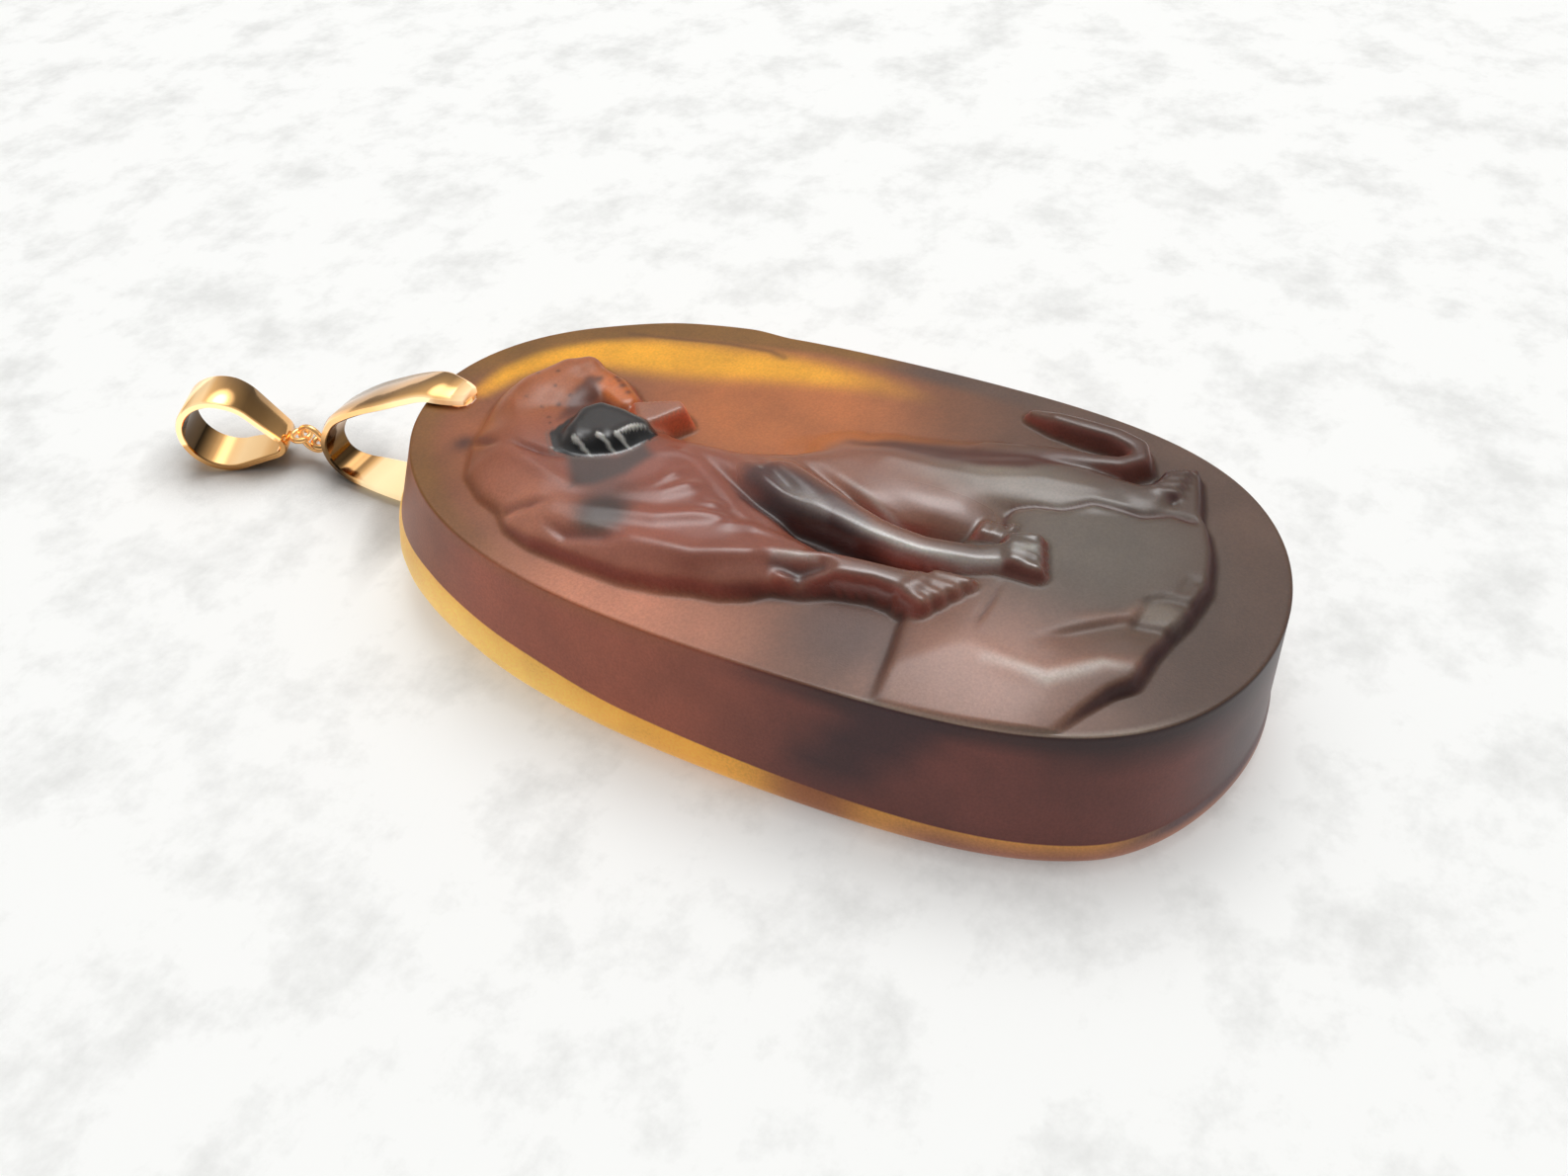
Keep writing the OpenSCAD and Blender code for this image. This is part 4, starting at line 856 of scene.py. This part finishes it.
path = spline(BEND, 8)
lower = np.stack([np.linspace(31.8, TIP_Y + 0.05, 24), np.full(24, LOWER_Z)], -1)
path = np.concatenate([path, lower])
leaf = spline(LEAF, 8)
widths = np.interp(path[:, 0], leaf[:, 0], leaf[:, 1])
v, f = band(path, widths, STRIP_T, bevel_out=0.34, bevel_in=0.1, closed=False)
v, f = joined([(v, f), pin(0, HOLE[1], FACE_Z - PIN_DOWN, FACE_Z + 0.25, PIN_R),
               pin(0, HOLE[1], LOWER_Z, PIN_UP, PIN_R),
               ring((0, CLIP_EYE_Y, LINK_Z), (0, 0, 1), EYE_R, WIRE)])
clip = make_object("clip", v + np.array([HOLE[0], 0, 0]), f, gold)
# painted darker and brighter reflections: along the upper prong, the lower one, and the near edge
x, y, z = v.T
upper = np.interp(y, [22.3, 23.2, 24, 25.5, 27, 29, 31, 33, 34.8],
                  [1, .7, -.1, -.15, -.2, -.5, -.55, -.4, -.4])
lower = np.interp(y, [26, 28, 30.5, 32, 32.9, 33.8, 34.6], [.4, .9, 1, .9, -.4, -1, -.8])
high = ramp(z, 2.0, 4.0)
reflection_paint = high * upper + (1 - high) * lower
bevel_glint = np.concatenate([np.tile([0, 1, 1, .3, 0, 0, 0, 0], len(path)),
                        np.zeros(len(v) - 8 * len(path))])
# painted highlight along the upper prong's near bevel
reflection_paint = reflection_paint + 1.1 * high * bevel_glint * ramp(y, 23, 24.5)
reflection_paint = reflection_paint * (1 - ramp(y, 34.8, 35.1))
# painted shade on the metal below the face by the hole, under the stone
reflection_paint = reflection_paint - 0.9 * ramp(-z, -FACE_Z - 0.2, -FACE_Z) * ramp(-y, -23.8, -23)
mark(clip, "reflection_paint", np.clip(reflection_paint, -1, 1))
sharp_edges(clip, SHARP)

BAND_L, BAND_H, BAND_W, BAND_TIP_W, BAND_T, SWING = 6.8, 5.6, 3.1, 2.0, 0.5, 25
TIP_R, BIG_R = 1.0, BAND_H / 2
START = EYE_R + WIRE - 0.1
tip_c = np.array([TIP_R, LINK_Z])
big_c = np.array([BAND_L - BIG_R, BIG_R])
d = big_c - tip_c
lean = math.acos((TIP_R - BIG_R) / np.linalg.norm(d))
way = math.atan2(d[1], d[0])
arc = [big_c + (BIG_R - BAND_T / 2) * np.array([math.cos(t), math.sin(t)])
       for t in np.linspace(way - lean, way + lean, 60)]
tip_arc = [tip_c + (TIP_R - BAND_T / 2) * np.array([math.cos(t), math.sin(t)])
           for t in np.linspace(way + lean, way + 2 * math.pi - lean, 24)]
loop = list(arc) + [arc[-1] + (tip_arc[0] - arc[-1]) * s for s in np.linspace(0, 1, 8)[1:-1]]
loop += tip_arc + [tip_arc[-1] + (arc[0] - tip_arc[-1]) * s for s in np.linspace(0, 1, 8)[1:-1]]
loop = np.array(loop)[::-1]
band_w = np.interp(loop[:, 0], [-1, 0.45 * BAND_L], [BAND_TIP_W / 2, BAND_W / 2])
v, f = band(loop, band_w, BAND_T, bevel_out=0.16, bevel_in=0.1, closed=True)
inner = np.tile([1, 1, 0, 0, 0, 0, 1, 1], len(loop))
near_edge = np.tile([0, 1, 1, 0, 0, 0, 0, 0], len(loop))
x, y, z = v.T
# painted reflections on the bail: darker and brighter along its outside and inside, and a painted
# highlight on its near edge
outside = np.interp(y, [.4, 1.2, 2, 3, 3.8, 4.4, 5, 5.8, 6.8],
                    [0, -.5, -.7, -.25, .3, .8, .8, .5, .4])
inside = np.interp(y, [1, 2, 3.5, 4.9, 5.4, 6, 6.7], [.4, .7, .8, .6, .1, -1, -.9])
reflection_paint = np.where(inner > 0, inside, outside) * (1 - near_edge)
reflection_paint = reflection_paint + near_edge * np.where(z > 2.2, 0.9, -0.2)
v = v + np.array([0, START, 0])
v, f = joined([(v, f), ring((0, 0, LINK_Z), (0, 0, 1), EYE_R, WIRE)])
reflection_paint = np.concatenate([reflection_paint, np.full(len(v) - len(reflection_paint), RING_GLEAM)])
a = math.radians(SWING)
spin = np.array([[math.cos(a), -math.sin(a), 0], [math.sin(a), math.cos(a), 0], [0, 0, 1]])
v = v @ spin.T + np.array([HOLE[0], BAIL_EYE_Y, 0])
bail = make_object("bail", v, f, gold)
mark(bail, "reflection_paint", reflection_paint)
sharp_edges(bail, SHARP)

v, f = ring((HOLE[0], CLIP_EYE_Y + RING_R, LINK_Z), (1, 0, 0), RING_R, WIRE)
link_ring = make_object("link_ring", v, f, gold)
mark(link_ring, "reflection_paint", np.full(len(v), RING_GLEAM))

for piece, node, slot in ((stone, "amber_stone", "amber"), (clip, "pinch_bail", "gold"),
                          (link_ring, "jump_ring", "gold"), (bail, "chain_bail", "gold")):
    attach(piece, "root")
    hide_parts(node)


# ---------------------------------------------------------------- stage
CLIP_FLOOR = (0.0255, 0.0295)  # metres along Y, from the end of the stone to the open clip


def contact(nt, distance, samples):
    """How open the floor is within a distance, raised to a power set by the caller."""
    close = nt.nodes.new("ShaderNodeAmbientOcclusion")
    close.inputs["Distance"].default_value = distance
    close.samples = samples
    power = nt.nodes.new("ShaderNodeMath")
    power.operation = "POWER"
    link(nt, close, "AO", power, 0)
    return power


def floor_material():
    mat, nt, bsdf = material("floor")
    coord = nt.nodes.new("ShaderNodeTexCoord")
    mottle = noise(nt, coord, 130, 8, 0.68)
    r = nt.nodes.new("ShaderNodeValToRGB")
    r.color_ramp.elements[0].position = 0.34
    r.color_ramp.elements[1].position = 0.52
    r.color_ramp.elements[0].color = (0.41, 0.41, 0.4, 1)
    r.color_ramp.elements[1].color = (0.49, 0.49, 0.48, 1)
    link(nt, mottle, "Fac", r, "Fac")
    link(nt, r, "Color", bsdf, "Base Color")
    link(nt, r, "Color", bsdf, "Emission Color")
    # the clear stone lets light on to the floor beside it, and the metal does not
    place = nt.nodes.new("ShaderNodeSeparateXYZ")
    link(nt, coord, "Object", place, "Vector")
    soft = contact(nt, 0.007, 4)
    soft.inputs[1].default_value = 0.25
    tight = contact(nt, 0.0045, 8)
    link(nt, spread(nt, place, "Y", *CLIP_FLOOR, 0, 7), "Result", tight, 1)
    shade = nt.nodes.new("ShaderNodeMath")
    shade.operation = "MULTIPLY"
    link(nt, soft, "Value", shade, 0)
    link(nt, tight, "Value", shade, 1)
    link(nt, spread(nt, shade, "Value", 0, 1, 0, 0.96), "Result", bsdf, "Emission Strength")
    bsdf.inputs["Roughness"].default_value = 0.9
    return mat


bpy.ops.mesh.primitive_plane_add(size=3.0, location=(0, 0, 0))
floor = bpy.context.object
floor.name = "floor"
floor.data.materials.append(floor_material())


def area_light(name, place, target, size, power, colour):
    data = bpy.data.lights.new(name, "AREA")
    data.shape = "DISK"
    data.size = size
    data.energy = power
    data.color = colour
    ob = bpy.data.objects.new(name, data)
    bpy.context.scene.collection.objects.link(ob)
    ob.location = place
    ob.rotation_euler = (Vector(target) - Vector(place)).to_track_quat("-Z", "Y").to_euler()
    return ob


key = area_light("key", (0.20, 0.07, 0.46), (0, 0, 0), size=0.30, power=0.5,
                 colour=(1.0, 0.985, 0.96))
key.visible_glossy = False  # the studio's soft window makes the reflections

world = bpy.data.worlds.new("studio")
bpy.context.scene.world = world
world.use_nodes = True
wt = world.node_tree
sky_dir = wt.nodes.new("ShaderNodeTexCoord")


def facing(direction):
    n = wt.nodes.new("ShaderNodeVectorMath")
    n.operation = "DOT_PRODUCT"
    n.inputs[1].default_value = direction
    wt.links.new(sky_dir.outputs["Generated"], n.inputs[0])
    return n


def soft_edge(source, low, high, to_low, to_high):
    n = spread(wt, source, "Value", low, high, to_low, to_high)
    n.interpolation_type = "SMOOTHSTEP"
    return n


def combine(operation, a, b):
    n = wt.nodes.new("ShaderNodeMath")
    n.operation = operation
    wt.links.new(a.outputs[0], n.inputs[0])
    wt.links.new(b.outputs[0], n.inputs[1])
    return n


WINDOW = (0.38, 0.14, 0.914)
FRONT = (-0.89, -0.45, 0)
dome = soft_edge(facing((0, 0, 1)), 0.0, 0.8, 0.28, 0.5)
dome = combine("MULTIPLY", dome, soft_edge(facing(FRONT), -0.1, 0.7, 1.0, 0.35))
window = soft_edge(facing(WINDOW), 0.86, 0.955, 0, 1.9)
core = soft_edge(facing(WINDOW), 0.955, 0.99, 0, 3.6)
light = combine("ADD", combine("ADD", dome, window), core)
back = wt.nodes["Background"]
back.inputs["Color"].default_value = (0.98, 0.99, 1.0, 1)
wt.links.new(light.outputs[0], back.inputs["Strength"])

# ---------------------------------------------------------------- camera
# focal length in pixels of a frame 1587 wide, angles in radians, place in millimetres
PHOTO_W = 1587
FOCAL_PX = 1400
ELEVATION = 0.75885
AZIMUTH = -1.10776
ROLL = -0.03425
CAM_AT = Vector((-53.07, -24.16, 56.84))
back_dir = Vector((math.sin(AZIMUTH) * math.cos(ELEVATION),
                   -math.cos(AZIMUTH) * math.cos(ELEVATION), math.sin(ELEVATION)))
right0 = Vector((math.cos(AZIMUTH), math.sin(AZIMUTH), 0))
up0 = back_dir.cross(right0)
right = math.cos(ROLL) * right0 + math.sin(ROLL) * up0
up = -math.sin(ROLL) * right0 + math.cos(ROLL) * up0
cam_data = bpy.data.cameras.new("camera")
cam_data.sensor_width = 36
cam_data.lens = 36 * FOCAL_PX / PHOTO_W
cam_data.clip_start = 0.005
camera = bpy.data.objects.new("camera", cam_data)
bpy.context.scene.collection.objects.link(camera)
camera.matrix_world = Matrix.Translation(CAM_AT * MM) @ Matrix(
    (right, up, back_dir)).transposed().to_4x4()
bpy.context.scene.camera = camera
bpy.context.scene.view_settings.view_transform = "Standard"
